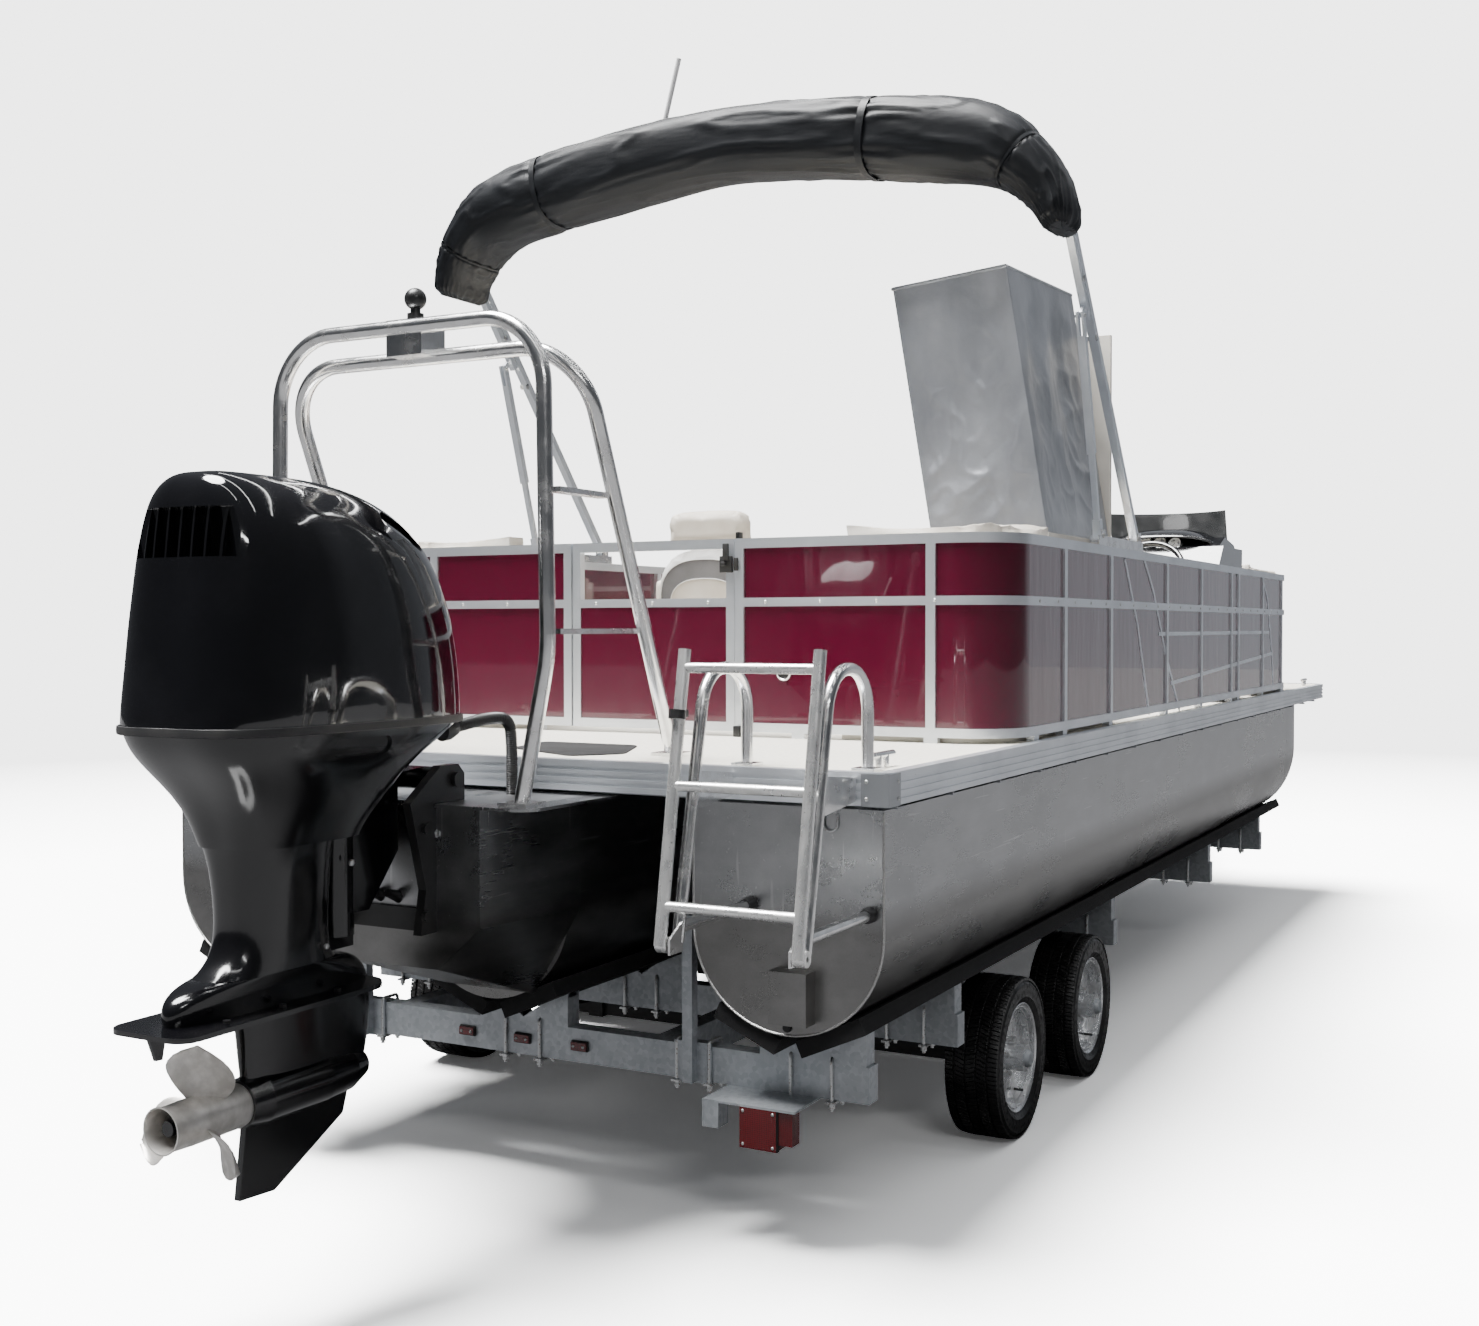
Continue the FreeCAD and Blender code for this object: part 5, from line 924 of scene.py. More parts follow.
# Each chair is a bucket of foam on a swivel post: a back with a headrest roll on top, two arms and a seat.
# Its white back wears a gray stitched arch over a cream one.
chair_half, chair_lean = 0.270, -0.085
chair_places = {"helm_chair": (3.700, -0.640), "port_chair": (2.800, 0.620)}


def block_form(low, high, ease=0.03):
    form = bmesh.new()
    slab(form, low, high, ease, 3)
    return form


def slice_form(outline, near, far):
    """A plate between two places along X, its outline in Y and Z leaning with the chair's back."""
    form = bmesh.new()
    skin(form, [[at(x + chair_lean * (z - 1.65), y, z) for y, z in outline] for x in (near, far)])
    return form


def arch_outline(half, low, high, power=2.6, steps=24):
    ring = [(-half, low)]
    for k in range(steps + 1):
        a = math.pi * (1 - k / steps)
        c, s = math.cos(a), math.sin(a)
        y = half * math.copysign(abs(c) ** (2 / power), c)
        ring.append((y, low + (high - low) * (0.35 + 0.65 * abs(s) ** (2 / power))))
    ring.append((half, low))
    return ring


for name, (cx, cy) in chair_places.items():

    def moved(outline):
        return [(cy + y, z) for y, z in outline]

    back = slice_form(moved(arch_outline(chair_half - 0.006, 1.665, 2.055)), cx - 0.272, cx - 0.190)
    head = slice_form(moved([(y * 0.98, z) for y, z in arch_outline(0.196, 2.052, 2.208, 5.0)]),
                      cx - 0.262, cx - 0.165)
    seat = block_form(at(cx - 0.175, cy - 0.255, 1.645), at(cx + 0.260, cy + 0.255, 1.792), 0.035)
    arms = [block_form(at(cx - 0.212, cy + side * 0.295 - 0.032, 1.742),
                       at(cx + 0.174, cy + side * 0.295 + 0.032, 1.914), 0.028) for side in (-1, 1)]
    pads = stuff([(name + "_back", back), (name + "_head", head), (name + "_seat", seat),
                  (name + "_arm_starboard", arms[0]), (name + "_arm_port", arms[1])],
                 cream_vinyl, 0.010, 0.006, 0.014)
    pads[0].data.materials[0] = white_vinyl
    press_channels(pads[2], 1, [cy - 0.16, cy + 0.16], only=lambda p, n: n.z > 0.5)
    for piece in pads:
        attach(piece, name)
        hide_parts(name)

    piping = bmesh.new()
    for label, half, low, high, lift, vinyl in (("gray", 0.225, 1.700, 1.990, 0.0, gray_vinyl),
                                                ("cream", 0.175, 1.705, 1.905, 0.004, cream_vinyl)):
        outline = moved(arch_outline(half, low, high))
        insert = slice_form(outline, cx - 0.288 - lift, cx - 0.262)
        bmesh.ops.bevel(insert, geom=insert.edges[:], offset=0.004, segments=2, affect="EDGES")
        make(name + "_" + label + "_insert", insert, vinyl, name)
        bar(piping, [at(cx - 0.2885 - lift + chair_lean * (z - 1.65), y, z) for y, z in outline[1:-1]], 0.0022, 8)
    pan = bmesh.new()
    slab(pan, at(cx - 0.200, cy - 0.228, 1.5745), at(cx + 0.228, cy + 0.228, 1.648), 0.012)
    for low, high in ((-0.120, -0.060), (0.060, 0.120)):
        for y in (cy - 0.250, cy + 0.250):
            slab(pan, at(cx + low, y - 0.008, 1.600), at(cx + high, y + 0.008, 1.780), 0.002)
        slab(pan, at(cx + low, cy - 0.256, 1.600), at(cx + high, cy + 0.256, 1.612), 0.001)
    make(name + "_pan", pan, nylon, name)
    make(name + "_piping", piping, white_vinyl, name)
coat_nodes(frame_metal, "chair_pedestals")


# The helm console is gloss black over a cream box: a hooded binnacle with chromed gauges, a smoked screen
# bent round it, and a padded wheel.
gloss_black = moulded_finish("console_black", (0.010, 0.010, 0.011), 0.08, 1.0)
coat_nodes(gloss_black, "console", "helm_wheel")


def screen_finish():
    s = start_finish("smoked_screen")
    dust = blotches(s, 12.0, 4.0, 0.4, 0.8)
    return close(s, {"Base Color": tint(s, dust, (0.012, 0.016, 0.018), (0.030, 0.036, 0.038)),
                     "Roughness": graded(s, dust, 0.04, 0.10), "Alpha": graded(s, dust, 0.84, 0.92),
                     "Coat Weight": 1.0}, noise(s, 30.0), 0.0001)


smoked_screen = screen_finish()
coat_nodes(smoked_screen, "windscreen")


def dial_finish():
    """White card, printed with small gray marks."""
    s = start_finish("gauge_card")
    marks = blotches(s, 60.0, 1.0, 0.55, 0.60)
    return close(s, {"Base Color": tint(s, marks, (0.82, 0.82, 0.80), (0.30, 0.30, 0.31)), "Roughness": 0.35})


gauge_card = dial_finish()
dash_way = Vector((-0.94, 0, 0.34)).normalized()
needle_way = Vector((0, 1, 0)) * 0.6 + dash_way.cross(Vector((0, 1, 0))) * 0.8
gauges = [(at(4.470, y, z), dash_way)
          for y, z in ((-0.745, 2.120), (-0.820, 2.118), (-0.895, 2.116), (-0.970, 2.110))]
turning("gauge_pods", [(-0.050, 0), (-0.050, 0.040), (-0.004, 0.038), (-0.002, 0.034), (-0.002, 0)], gauges,
        gloss_black, steps=28)
turning("gauge_bezels", [(-0.004, 0.027), (0.004, 0.028), (0.005, 0.031), (0.000, 0.035), (-0.004, 0.035)],
        gauges, tube_polished, steps=32)
turning("gauge_cards", [(-0.003, 0), (-0.003, 0.0275), (0.0005, 0.0275), (0.0005, 0)], gauges, gauge_card, steps=28)
needles = bmesh.new()
for spot, way in gauges:
    pin = spot + way * 0.0022
    bar(needles, [pin, pin + needle_way * 0.020], lambda t: 0.0014 - 0.0009 * t, 6)
make("gauge_needles", needles, nylon)

helm_y = -0.885
hood = bmesh.new()
rows = []
for k in range(17):
    across = -1 + 2 * k / 16
    edge = 1 - abs(across) ** 2.6
    y = helm_y + across * 0.285
    row = []
    for t in range(13):
        u = t / 12
        crown = 0.030 + 0.070 * math.sin(math.pi * (0.12 + 0.80 * u))
        row.append(at(4.440 + 0.340 * u + 0.055 * (1 - edge), y, 2.086 + crown * max(edge, 0.0) ** 0.5))
    rows.append(row)
grid = [[hood.verts.new(p) for p in row] for row in rows]
for a, b in zip(grid, grid[1:]):
    for k in range(len(a) - 1):
        hood.faces.new((a[k], a[k + 1], b[k + 1], b[k]))
hood_mesh = finished_mesh("binnacle_hood", hood, gloss_black, 60.0)
hood_piece = stand("binnacle_hood", hood_mesh, "hull_and_trailer")
modified(hood_piece, "SOLIDIFY", thickness=0.006, offset=-1.0)
bake(hood_piece)

helm_hub, helm_rake = at(4.245, helm_y, 1.960), math.radians(35.0)
wheel_axis = Vector((-math.cos(helm_rake), 0, math.sin(helm_rake)))
turning("wheel_boss", [(0.004, 0), (0.004, 0.036), (0.010, 0.038), (0.020, 0.030), (0.024, 0.012), (0.024, 0)],
        [(helm_hub, wheel_axis)], tube_polished, "helm_wheel", 32)


# The changing room's tent is silver-coated cloth on a leaning frame: a loop with a hem along its top edge.
# It was folded away for long, so fine crumples cover its lower half and long folds run down its sides.
def silver_cloth_finish():
    s = start_finish("tent_silver")
    weave = noise(s, 1500.0, 2.0)
    crush = s.node("TexNoise", {"noise_type": "RIDGED_MULTIFRACTAL"},
                   {"Vector": spread(s, (1, 1, 0.6)), "Scale": 10.0, "Detail": 5.0, "Distortion": 0.5}, out="Fac")
    low_down = between(s, height_of(s), 2.85, 2.15)
    broad = blotches(s, 3.5, 5.0, 0.35, 0.68, (1, 1, 0.6))
    return close(s, {"Base Color": tint(s, broad * 0.8 + crush * 0.1, (0.26, 0.272, 0.296), (0.49, 0.507, 0.54)),
                     "Metallic": 0.35, "Roughness": graded(s, crush, 0.30, 0.42)},
                 crush * low_down * 0.8 + weave * 0.03 + noise(s, 16.0, 5.0) * 0.5, 0.008)


tent_silver = silver_cloth_finish()
tent_low, tent_sides = 2.0105, (0.777, 0.417)
foot_plan = [(1.601, -1.203), (2.378, -1.203), (2.378, -0.786), (1.601, -0.786)]
top_plan = [(1.601, -1.054), (2.378, -1.054), (2.378, -0.639), (1.601, -0.639)]


def along_plan(plan, share):
    """The point at a share of the way round a four-sided plan, which side it is on, and its share of that side."""
    turn = share * 4
    side = int(turn) % 4
    part = turn - int(turn)
    a, b = plan[side], plan[(side + 1) % 4]
    return a[0] + (b[0] - a[0]) * part, a[1] + (b[1] - a[1]) * part, side, part


def top_height(x, y):
    """The upper edge of the tent's frame, which rises forward and outboard."""
    return 2.887 + 0.05 * (x - 1.595) + 0.095 * (-0.633 - y)


def ridge(p, scale, seed):
    """Sharp folds: 1 along the crease lines of a noise, falling to 0 between them."""
    value = lattice.noise(Vector((p.x * scale + seed, p.y * scale - seed, p.z * scale * 0.8)))
    return max(0.0, 1.0 - abs(value) * 5.0)


tent = bmesh.new()
tent_round, tent_tall = 300, 110
tent_rows = []
for j in range(tent_tall + 1):
    rise = j / tent_tall
    ring = []
    for k in range(tent_round):
        share = k / tent_round
        fx, fy, side, part = along_plan(foot_plan, share)
        tx, ty, _, _ = along_plan(top_plan, share)
        p = at(fx + (tx - fx) * rise, fy + (ty - fy) * rise, tent_low + (top_height(tx, ty) - tent_low) * rise)
        out = Vector(((0, -1, 0), (1, 0, 0), (0, 1, 0), (-1, 0, 0))[side])
        hold = min(1.0, part * 9, (1 - part) * 9)
        loose = hold * min(1.0, rise * 8) * min(1.0, (1 - rise) * 7)
        across = part * tent_sides[side % 2]
        fold = math.sin((across + 0.10 * lattice.noise(p * 1.7)) * 21.0 + side * 1.7) * 0.010 * (0.5 + 0.5 * rise)
        fold += 0.012 * lattice.noise(Vector((p.x * 9, p.y * 9, p.z * 1.6)))
        crumple = (ridge(p, 5.0, 3.1) + 0.5 * ridge(p, 11.0, 8.2)) * 0.0085 * (1.10 - rise * 0.85)
        sag = -0.016 * math.sin(math.pi * part) * (0.25 + 0.75 * math.sin(math.pi * min(1.0, rise * 1.05)))
        p += out * loose * (fold + crumple + sag - 0.003)
        ring.append(p)
    tent_rows.append(ring)
skin(tent, tent_rows, caps=False)
tent_piece = stand("changing_room_tent", finished_mesh("changing_room_tent", tent, tent_silver, 180.0),
                   "hull_and_trailer", "changing_room_curtain")
modified(tent_piece, "SOLIDIFY", thickness=0.0014, offset=-1.0)
bake(tent_piece)

hem = bmesh.new()
hem_path = []
for k in range(96):
    x, y, _, _ = along_plan(top_plan, k / 96)
    hem_path.append(at(min(x, 2.3730), y, top_height(x, y) - 0.007))
bar(hem, hem_path, 0.0062, 8, loop=True)
hem_piece = make("tent_hem", hem, tent_silver)
tent_anchor = tuple(at(2.0, -0.95, tent_low))
for piece in (tent_piece, hem_piece):
    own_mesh(piece)


# The room's lid is a seat on a barrel hinge: a moulded board with a cream vinyl pad, standing open. A strip
# of the same vinyl pads the edge that it closes on.
lid_hinge = (2.390, 2.020)
lid_base = bmesh.new()
slab(lid_base, at(2.3905, -1.2040, 2.032), at(2.4100, -0.6610, 2.7995), 0.004)
for y in (-1.119, -0.790):
    near = y + 0.0405
    turned(lid_base, [(0.0, 0.004), (0.0, 0.009), (0.0395, 0.009), (0.0395, 0.004)],
           at(lid_hinge[0], near, lid_hinge[1]), (0, 1, 0), 20)
    slab(lid_base, at(2.3905, near, 2.0225), at(2.3955, near + 0.0395, 2.060), 0.0)
make("room_lid_board", lid_base, furniture_shell, "room_lid")
lid_pad = stuff([("room_lid_pad", block_form(at(2.413, -1.200, 2.037), at(2.456, -0.665, 2.795), 0.016))],
                cream_vinyl, 0.010, 0.004, 0.010)[0]
press_channels(lid_pad, 1, [-1.066, -0.932, -0.798], only=lambda p, n: n.x > 0.5)
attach(lid_pad, "room_lid")
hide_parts("changing_room_lid")
seat_edge = stuff([("room_seat_edge", block_form(at(1.615, -1.198, 2.0108), at(1.640, -0.668, 2.0180), 0.003))],
                  cream_vinyl, 0.005, 0.0008, 0.001)[0]
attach(seat_edge, "hull_and_trailer")


# The folding top is rolled up in a boot of black coated canvas, laced tight: long creases run from the
# straps' gathers, and its ends are drawn in round the bows.
def canvas_finish():
    s = start_finish("boot_canvas")
    weave = noise(s, 1300.0, 2.0)
    bloom = blotches(s, 4.0, 5.0, 0.36, 0.7, (1, 0.35, 1))
    return close(s, {"Base Color": tint(s, bloom, (0.0022, 0.0029, 0.0042), (0.0065, 0.0080, 0.0110)),
                     "Roughness": graded(s, bloom, 0.40, 0.54), "Specular IOR Level": 0.32},
                 weave * 0.06 + noise(s, 14.0, 3.0, (1, 0.25, 1)) * 0.94, 0.004)


boot_canvas = canvas_finish()
boot_route = [(1.252, 3.020, 1.600, 72.0, 0.090), (1.222, 3.120, 1.590, 64.0, 0.150),
              (1.150, 3.225, 1.565, 46.0, 0.205), (1.020, 3.312, 1.540, 20.0, 0.262),
              (0.780, 3.362, 1.515, 9.0, 0.282), (0.400, 3.410, 1.502, 6.0, 0.278), (0.0, 3.440, 1.500, 0.0, 0.270)]
boot_route += [(-y, z, x, -turn, tall) for y, z, x, turn, tall in boot_route[-2::-1]]
boot_straps, boot_half = (0.135, 0.345, 0.628, 0.815), 0.153


def eased(values, t):
    """A smooth curve through a list of rows of numbers, at a share t of the way."""
    spot = t * (len(values) - 1)
    i = min(int(spot), len(values) - 2)
    u = spot - i
    a, b, c, d = [values[min(max(i + k, 0), len(values) - 1)] for k in (-1, 0, 1, 2)]
    return [0.5 * (2 * q + (r - p) * u + (2 * p - 5 * q + 4 * r - s) * u * u + (3 * q - p - 3 * r + s) * u ** 3)
            for p, q, r, s in zip(a, b, c, d)]


def squared(value, power):
    """Draws a circle's cosine or sine out towards a square's."""
    return math.copysign(abs(value) ** power, value)


def up_at(turn):
    return Vector((0, math.sin(math.radians(turn)), math.cos(math.radians(turn))))


boot = bmesh.new()
boot_long, boot_round = 380, 84
boot_rows = []
for j in range(boot_long + 1):
    t = j / boot_long
    y, z, x, turn, tall = eased(boot_route, t)
    up = up_at(turn)
    near_strap = min(abs(t - strap) for strap in boot_straps)
    end = min(t, 1 - t)
    neck = 1 - 0.30 * math.exp(-(end / 0.018) ** 2)
    gather, drawn = math.exp(-(near_strap / 0.035) ** 2), math.exp(-(end / 0.05) ** 2)
    ring = []
    for a in circle(boot_round):
        c, s = math.cos(a), math.sin(a)
        off_x = boot_half * squared(c, 2 / 2.7)
        off_up = tall / 2 * 0.965 * squared(s, 2 / 2.7)
        creep = lattice.noise(Vector((t * 16, a * 2.1, 4.0))) * 2.2
        pleats = math.sin(a * 17 + creep * 2) * 0.0035 * gather + math.sin(a * 23 + creep) * 0.0055 * drawn
        around = Vector((c * 1.6, s * 1.6, t * 9.0))
        long_fold = 0.008 * lattice.noise(around * 0.8)
        slack = 0.0050 * max(0.0, 1 - abs(lattice.noise(Vector((c * 2.2, s * 2.2, t * 9.0)))) * 7.0)
        pull = -0.007 * math.exp(-(near_strap / 0.006) ** 2)
        grow = pleats + (long_fold + slack) * (0.4 + 0.6 * min(1.0, near_strap / 0.03)) + pull - 0.002
        way = Vector((c, 0, 0)) + up * s
        ring.append(at(x, y, z) + (Vector((off_x, 0, 0)) + up * off_up) * neck + way * grow)
    boot_rows.append(ring)
for last in (0, -1):
    middle = sum(boot_rows[last], Vector()) / boot_round
    inner = [[middle + (p - middle) * grow for p in boot_rows[last]] for grow in (0.86, 0.5, 0.02)]
    boot_rows = inner[::-1] + boot_rows if last == 0 else boot_rows + inner
skin(boot, boot_rows)
boot_piece = make("rolled_top_boot", boot, boot_canvas, "top", "top_boot", angle=180.0)

straps = bmesh.new()
for share in boot_straps:
    rings = []
    for shift, lift in ((-0.0030, -0.001), (-0.0028, 0.0016), (0.0028, 0.0016), (0.0030, -0.001)):
        y, z, x, turn, tall = eased(boot_route, share + shift)
        up = up_at(turn)
        ring = []
        for a in circle(64):
            c, s = math.cos(a), math.sin(a)
            off = Vector((boot_half * squared(c, 0.741), 0, 0)) + up * (tall / 2 * 0.965 * squared(s, 0.741))
            ring.append(at(x, y, z) + off * 0.985 + (Vector((c, 0, 0)) + up * s) * lift)
        rings.append(ring)
    skin(straps, rings, caps=False, loop=True)
make("boot_straps", straps, boot_canvas, "top")


# The top's bows are square aluminium tube, bolted to each other and to mounts on the fence, with pressed
# steel knuckles where they fold. The anchor light stands on a white pole.
coat_nodes(frame_metal, "top_frame", "top_strut_starboard", "top_strut_port")
white_plastic = moulded_finish("pole_white", (0.78, 0.78, 0.78), 0.22)
coat_nodes(white_plastic, "light_pole")
steel_knuckle = polished_finish("knuckle_steel", 0.55, 0.25)
leg_y = 1.237
foot, head, strut_foot, strut_head = (2.626, 2.034), (1.720, 3.100), (2.106, 2.022), (1.868, 2.780)


def through_legs(reach, *places):
    """Both ends of a bolt through each leg, at places in X and Z."""
    return [(at(x, side * leg_y + way * reach, z), (0, way, 0))
            for side in (-1, 1) for x, z in places for way in (-1, 1)]


leg_way = (Vector(head) - Vector(foot)).normalized()
knuckles = [Vector(foot) + leg_way * along - Vector((0.012, 0.010)) for along in (0.92, 1.16)]
turning("top_pivots", [(0.0, 0), (0.0, 0.012), (0.003, 0.0115), (0.0045, 0.006), (0.0045, 0)],
        through_legs(0.0140, *knuckles), steel_knuckle, "top", 18)
repeated("top_mount_bolts", screw_mesh(0.0085, 0.0050, slot=False), through_legs(0.0193, foot, strut_foot),
         bright_zinc)
repeated("top_joint_bolts", screw_mesh(0.0075, 0.0045, slot=False), through_legs(0.0158, strut_head),
         bright_zinc, "top")


# The outboard engine hangs on the pod. Its covers are moulded and parted by a rubber seam band, the upper
# one in a deep gloss black; the lower cover, the leg and the brackets have a softer gloss.
def lacquer_finish(name, rough, coat, wave=0.004, coat_rough=0.02):
    s = start_finish(name)
    haze = blotches(s, 5.0, 5.0, 0.45, 0.8)
    return close(s, {"Base Color": tint(s, haze, (0.0022, 0.0022, 0.0030), (0.0050, 0.0050, 0.0062)),
                     "Roughness": graded(s, haze, rough, rough + 0.06), "Coat Weight": coat,
                     "Coat Roughness": coat_rough}, noise(s, 3.0, 1.0), wave)


def prop_finish():
    s = start_finish("prop_steel")
    worn = blotches(s, 30.0, 5.0, 0.40, 0.66)
    return close(s, {"Base Color": tint(s, worn, (0.64, 0.615, 0.58), (0.82, 0.795, 0.76)), "Metallic": 0.75,
                     "Roughness": graded(s, worn, 0.44, 0.34)}, noise(s, 900.0, 3.0), 0.0003)


engine_lacquer = lacquer_finish("engine_lacquer", 0.07, 1.0)
engine_cast = lacquer_finish("engine_cast", 0.16, 0.7, 0.002, 0.11)
engine_satin = satin_black("engine_satin", 0.010, 0.32)
prop_steel = prop_finish()
coat_nodes(engine_lacquer, "engine_cowl")
coat_nodes(engine_cast, "engine_lower_cowl", "engine_leg", "engine_gearcase", "engine_swivel")
coat_nodes(engine_satin, "engine_clamp")
coat_nodes(joist_metal, "engine_block")

band_rubber = satin_black("seam_rubber", 0.020, 0.45)
cowl_x, cowl_long, cowl_wide = -0.679, 0.439, 0.245
band = bmesh.new()
rings = []
for out, z in ((0.0030, 1.4435), (0.0062, 1.4450), (0.0070, 1.4540), (0.0062, 1.4630), (0.0030, 1.4645)):
    rings.append([at(cowl_x + (cowl_long + out) * squared(math.cos(a), 0.5),
                     (cowl_wide + out) * squared(math.sin(a), 0.5), z) for a in circle(120)])
skin(band, rings, caps=False, loop=True)
make("engine_seam_band", band, band_rubber, "engine_steering")

caps = bmesh.new()
for side in (-1, 1):
    for x, y, z, radius in ((-0.598, 0.0905, 1.100, 0.0085), (-0.690, 0.0900, 0.905, 0.0070)):
        turned(caps, [(-0.004, 0), (-0.004, radius), (0.002, radius), (0.004, radius * 0.6), (0.004, 0)],
               at(x, side * y, z), (0, side, 0), 18)
make("leg_caps", caps, bright_zinc, "engine_steering")

clamp_x = -0.300
turning("clamp_bolts", [(0.0, 0), (0.0, 0.0140), (0.0025, 0.0140), (0.003, 0.0105), (0.012, 0.0105), (0.0135, 0)],
        [(at(x, side * 0.160, z), (0, side, 0)) for side in (-1, 1)
         for x, z in ((clamp_x, 1.205), (clamp_x, 1.060), (clamp_x, 0.940), (-0.345, 1.150))], bright_zinc, steps=6)
turning("water_plate_bolts", [(0.0, 0), (0.0, 0.0095), (0.007, 0.0095), (0.008, 0)],
        [(at(x, side * 0.088, 0.7858), (0, 0, 1)) for side in (-1, 1) for x in (-1.020, -0.840, -0.650)],
        engine_satin, "engine_steering", 6)
turning("hose_grommet", [(-0.012, 0.012), (-0.012, 0.030), (0.012, 0.030), (0.030, 0.024), (0.040, 0.0205),
                         (0.040, 0.012)], [(at(-0.318, -0.162, 1.421), (0.97, -0.12, 0.10))], band_rubber,
        "engine_steering", 28)


# The power trim stands between the clamp's cheeks: a manifold with a reservoir and a motor on it, and two
# hoses that loop up to the pod's top.
trim = bmesh.new()
turned(trim, [(-0.128, 0), (-0.128, 0.034), (0.128, 0.034), (0.128, 0)], at(clamp_x, 0, 0.948), (0, 1, 0), 32)
for y, tall, radius in ((-0.096, 0.205, 0.030), (0.096, 0.175, 0.031)):
    turned(trim, [(0.0, 0), (0.0, radius), (tall - 0.022, radius), (tall - 0.018, radius + 0.003),
                  (tall - 0.006, radius + 0.003), (tall, radius * 0.7), (tall, 0)],
           at(clamp_x, y, 0.955), (0, 0, 1), 32)
for side in (-1, 1):
    bar(trim, [at(-0.318, side * 0.030, 0.955), at(-0.350, side * 0.030, 0.975), at(-0.392, side * 0.030, 0.990)],
        lambda t: 0.016 if t < 0.8 else 0.011, 18)
make("trim_unit", trim, engine_satin)


def smooth_line(name, route):
    """The points of a NURBS curve that is led by a route."""
    curve = bpy.data.curves.new(name, "CURVE")
    curve.dimensions, curve.resolution_u = "3D", 24
    spline = curve.splines.new("NURBS")
    spline.points.add(len(route) - 1)
    for point, place in zip(spline.points, route):
        point.co = (*place, 1.0)
    spline.order_u, spline.use_endpoint_u = 3, True
    holder = place_in_scene(name, curve)
    mesh = bpy.data.meshes.new_from_object(holder)
    line = [v.co.copy() for v in mesh.vertices]
    bpy.data.objects.remove(holder)
    return line


trim_lines = bmesh.new()
for shift, lift in ((0.0, 0.0), (0.016, 0.012)):
    route = [at(-0.330 + shift, -0.110, 1.140), at(-0.350 + shift, -0.118, 1.200),
             at(-0.330 + shift, -0.122, 1.262 + lift), at(-0.285, -0.124 + shift, 1.290 + lift),
             at(-0.245, -0.128 + shift, 1.262 + lift), at(-0.225, -0.130 + shift, 1.232)]
    bar(trim_lines, smooth_line("trim_line", route), 0.0055, 10)
make("trim_lines", trim_lines, nylon)


# The propeller is one casting in brushed stainless steel: a hub open at its stern, and three right-handed
# blades, raked aft, each cupped along its trailing edge.
prop_z, prop_fore, prop_aft, prop_pitch = 0.555, -0.9005, -1.135, 0.430
blade_root, blade_span = 0.050, 0.1265
chord = [math.cos(math.pi * n / 12) for n in range(12)]
wheel_form = bmesh.new()
turned(wheel_form, [(prop_fore, 0.0305), (prop_fore, 0.0515), (prop_fore - 0.010, 0.0535), (-1.060, 0.054),
                    (-1.118, 0.0520), (prop_aft, 0.0555), (prop_aft, 0.0520), (-1.112, 0.0475), (-0.975, 0.0470),
                    (-0.965, 0.0330), (-1.090, 0.0320), (-1.096, 0.0305)],
       at(0, 0, prop_z), (1, 0, 0), 72)
for turn in (12.0, 132.0, 252.0):
    a0 = math.radians(turn)
    rings = []
    for k in range(15):
        u = k / 14
        radius = blade_root + blade_span * u
        wide = 0.088 + 0.082 * math.sin(math.pi * min(1.0, u * 1.02) * 0.62)
        wide *= max(0.06, 1 - max(0.0, (u - 0.55) / 0.45) ** 3.2)
        helix = math.atan2(prop_pitch, 2 * math.pi * radius)
        middle = -1.008 - 0.24 * (radius - blade_root)
        skew = -0.020 * u * u
        ring = []
        for c in chord + [-share for share in chord]:
            upper = len(ring) < 12
            along = c * wide / 2 + skew
            thick = (0.0045 * (1 - u * 0.6) + 0.0009) * math.sqrt(max(0.0, 1 - c * c)) * (1 if upper else -1)
            cup = -0.010 * max(0.0, -c - 0.4) ** 2 * (0.4 + u) + 0.006 * (1 - c * c) * u
            dx = along * math.sin(helix) + (thick + cup) * math.cos(helix)
            swing = (along * math.cos(helix) - (thick + cup) * math.sin(helix)) / radius
            a = a0 + swing
            ring.append(at(middle + dx, -math.sin(a) * radius, prop_z + math.cos(a) * radius))
        rings.append(ring)
    skin(wheel_form, rings)
make("propeller_wheel", wheel_form, prop_steel, "propeller", "propeller", angle=35.0)


# The control cables run from the engine to the pod in a ribbed black sleeve, held at both ends. It is one
# sleeve 0.46 m long, made as two pieces that meet at the top of its bend.
sleeve_radius = 0.017
sleeve_route = [at(-0.056, -0.190, 1.228), at(-0.056, -0.190, 1.290), at(-0.056, -0.190, 1.370),
                at(-0.068, -0.190, 1.440), at(-0.150, -0.180, 1.444), at(-0.240, -0.170, 1.432),
                at(-0.326, -0.160, 1.419)]
sleeve_line = smooth_line("sleeve_line", sleeve_route)


def run_lengths(line):
    lengths = [0.0]
    for a, b in zip(line, line[1:]):
        lengths.append(lengths[-1] + (b - a).length)
    return lengths


def ribbed(name, line):
    """A corrugated sleeve along a line, its ribs 6 mm apart."""
    lengths = run_lengths(line)
    total, spot, points, count = lengths[-1], 0, [], int(lengths[-1] / 0.0015)
    for k in range(count + 1):
        want = total * k / count
        while spot < len(line) - 2 and lengths[spot + 1] < want:
            spot += 1
        share = (want - lengths[spot]) / max(lengths[spot + 1] - lengths[spot], 1e-9)
        points.append(line[spot].lerp(line[spot + 1], share))
    form = bmesh.new()
    bar(form, points, lambda t: sleeve_radius - 0.0011 + 0.0011 * math.cos(2 * math.pi * t * total / 0.006), 20)
    return finished_mesh(name, form, nylon, 60.0), points, total


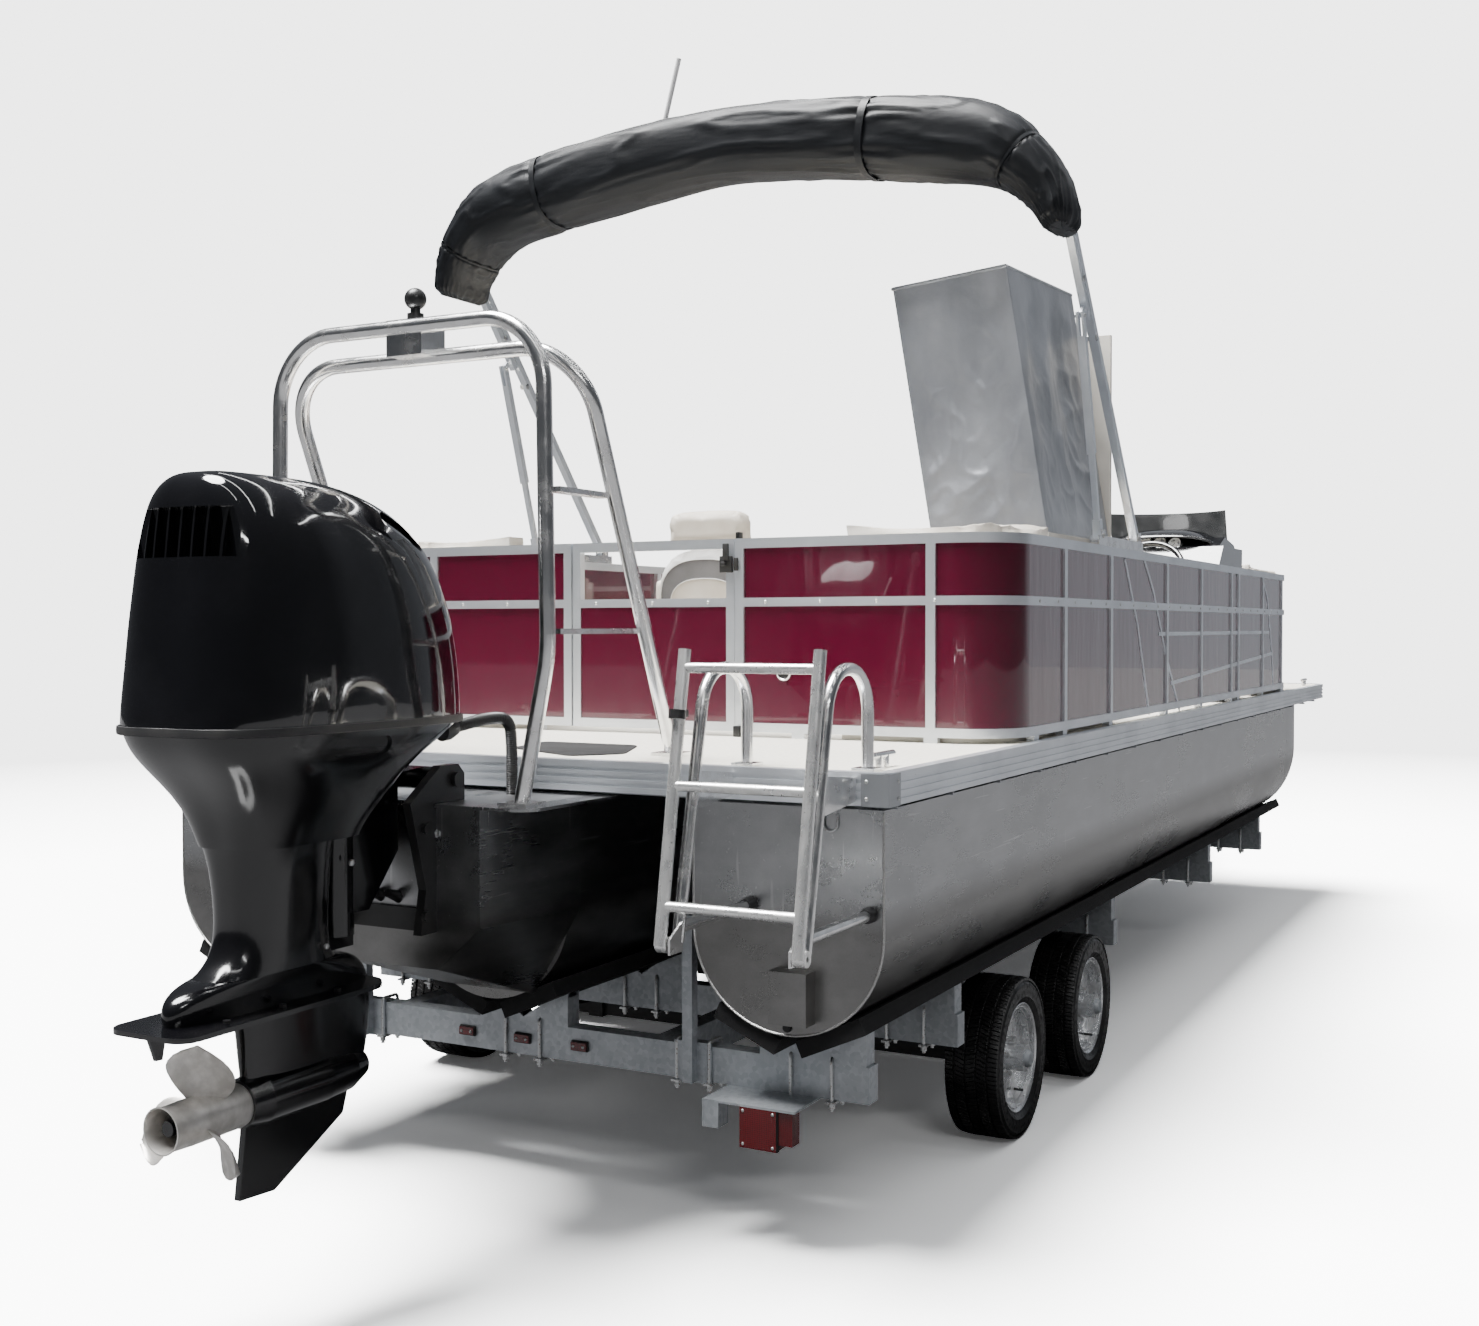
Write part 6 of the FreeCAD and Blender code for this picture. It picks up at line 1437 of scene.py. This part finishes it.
runs = run_lengths(sleeve_line)
half_way = min(range(len(runs)), key=lambda i: abs(runs[i] - runs[-1] / 2))
clamp_side, engine_side = sleeve_line[:half_way + 1], sleeve_line[half_way:]
for name, line, bodies in (("rigging_sleeve_boat", clamp_side, ("hull_and_trailer", "engine_tilting")),
                           ("rigging_sleeve_engine", engine_side, ("engine_tilting", "engine_steering"))):
    mesh, points, total = ribbed(name, line)
    piece = place_in_scene(name, mesh)
    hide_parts("rigging_hose")
    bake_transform(piece)


# The studio: a pale floor, one broad high light from port and aft that throws the boat's shadow to
# starboard, strips overhead for the gloss, and a camera low behind the starboard quarter.
def floor_finish():
    """Bright to the eye, dull in reflections, and fading far off into the backdrop."""
    s = start_finish("studio_floor")
    seen = s.node("LightPath", {}, {}, out="Is Camera Ray")
    far = s.node("VectorMath", {"operation": "LENGTH"}, {0: spread(s)}, out="Value")
    bright = s.node("BsdfDiffuse", {}, {"Color": (2.0, 2.0, 1.99, 1.0)})
    lifted = s.node("AddShader", {}, {0: bright, 1: s.node("Emission", {}, {"Strength": 0.05})})
    swept = s.node("MixShader", {}, {0: between(s, far, 7.0, 16.0), 1: lifted,
                                     2: s.node("Emission", {}, {"Strength": backdrop_glow})})
    dull = s.node("BsdfDiffuse", {}, {"Color": (0.10, 0.10, 0.102, 1.0)})
    s.node("OutputMaterial", {}, {"Surface": s.node("MixShader", {}, {0: seen, 1: dull, 2: swept})})
    return s.material


backdrop_glow = 4.0
floor_mesh = bpy.data.meshes.new("studio_floor")
floor_mesh.from_pydata([(-60, -60, 0), (60, -60, 0), (60, 60, 0), (-60, 60, 0)], [], [(0, 1, 2, 3)])
floor = place_in_scene("studio_floor", floor_mesh)
floor_mesh.materials.append(floor_finish())

world = bpy.data.worlds.new("studio_air")
world.use_nodes = True
world.node_tree.nodes.clear()
air = Shade(world.node_tree)
seen = air.node("LightPath", {}, {}, out="Is Camera Ray")
outward = air.node("TexCoord", {}, {}, out="Generated")
ahead = air.node("VectorMath", {"operation": "DOT_PRODUCT"}, {0: outward, 1: (0.996, -0.05, 0.07)}, out="Value")
rise = air.node("SeparateXYZ", {}, {"Vector": outward}, out="Z")
lit = between(air, ahead, 0.76, 0.93, 0.065, 0.40) + between(air, rise, 0.2, 1.0, 0.0, 0.12)
around = air.node("Background", {}, {"Color": (0.93, 0.98, 1.07, 1.0), "Strength": lit})
backdrop = air.node("Background", {}, {"Color": (1.0, 1.0, 0.995, 1.0), "Strength": backdrop_glow})
air.node("OutputWorld", {}, {"Surface": air.node("MixShader", {}, {0: seen, 1: around, 2: backdrop})})
bpy.context.scene.world = world


def softbox(name, spot, aim, size, power):
    light = bpy.data.lights.new(name, "AREA")
    light.shape, light.size, light.size_y, light.energy = "RECTANGLE", size[0], size[1], power
    lamp = place_in_scene(name, light)
    lamp.location = spot
    lamp.rotation_euler = (Vector(aim) - Vector(spot)).to_track_quat("-Z", "Y").to_euler()


key = bpy.data.lights.new("key", "SUN")
key.energy, key.angle = 16.0, math.radians(36.0)
key_lamp = place_in_scene("key", key)
key_lamp.rotation_euler = Vector((0.16, -0.30, -1.0)).to_track_quat("-Z", "Y").to_euler()
softbox("quarter", (-10.0, -7.0, 6.0), (-2.0, -0.5, 1.2), (4.0, 0.25), 120.0)
for k in range(5):
    softbox("strip_%d" % k, (-6.5 + 2.6 * k, -1.0, 6.5), (-6.5 + 2.6 * k, -1.0, 0.0), (0.12, 9.0), 60.0)

camera_data = bpy.data.cameras.new("photo_camera")
camera_data.lens, camera_data.sensor_width = 39.53, 36.0
camera = place_in_scene("photo_camera", camera_data)
camera.location = at(-3.734, -2.855, 1.688)
camera.rotation_euler = (math.radians(90.0 - 1.233), math.radians(0.06), math.radians(27.93 - 90.0))
bpy.context.scene.camera = camera
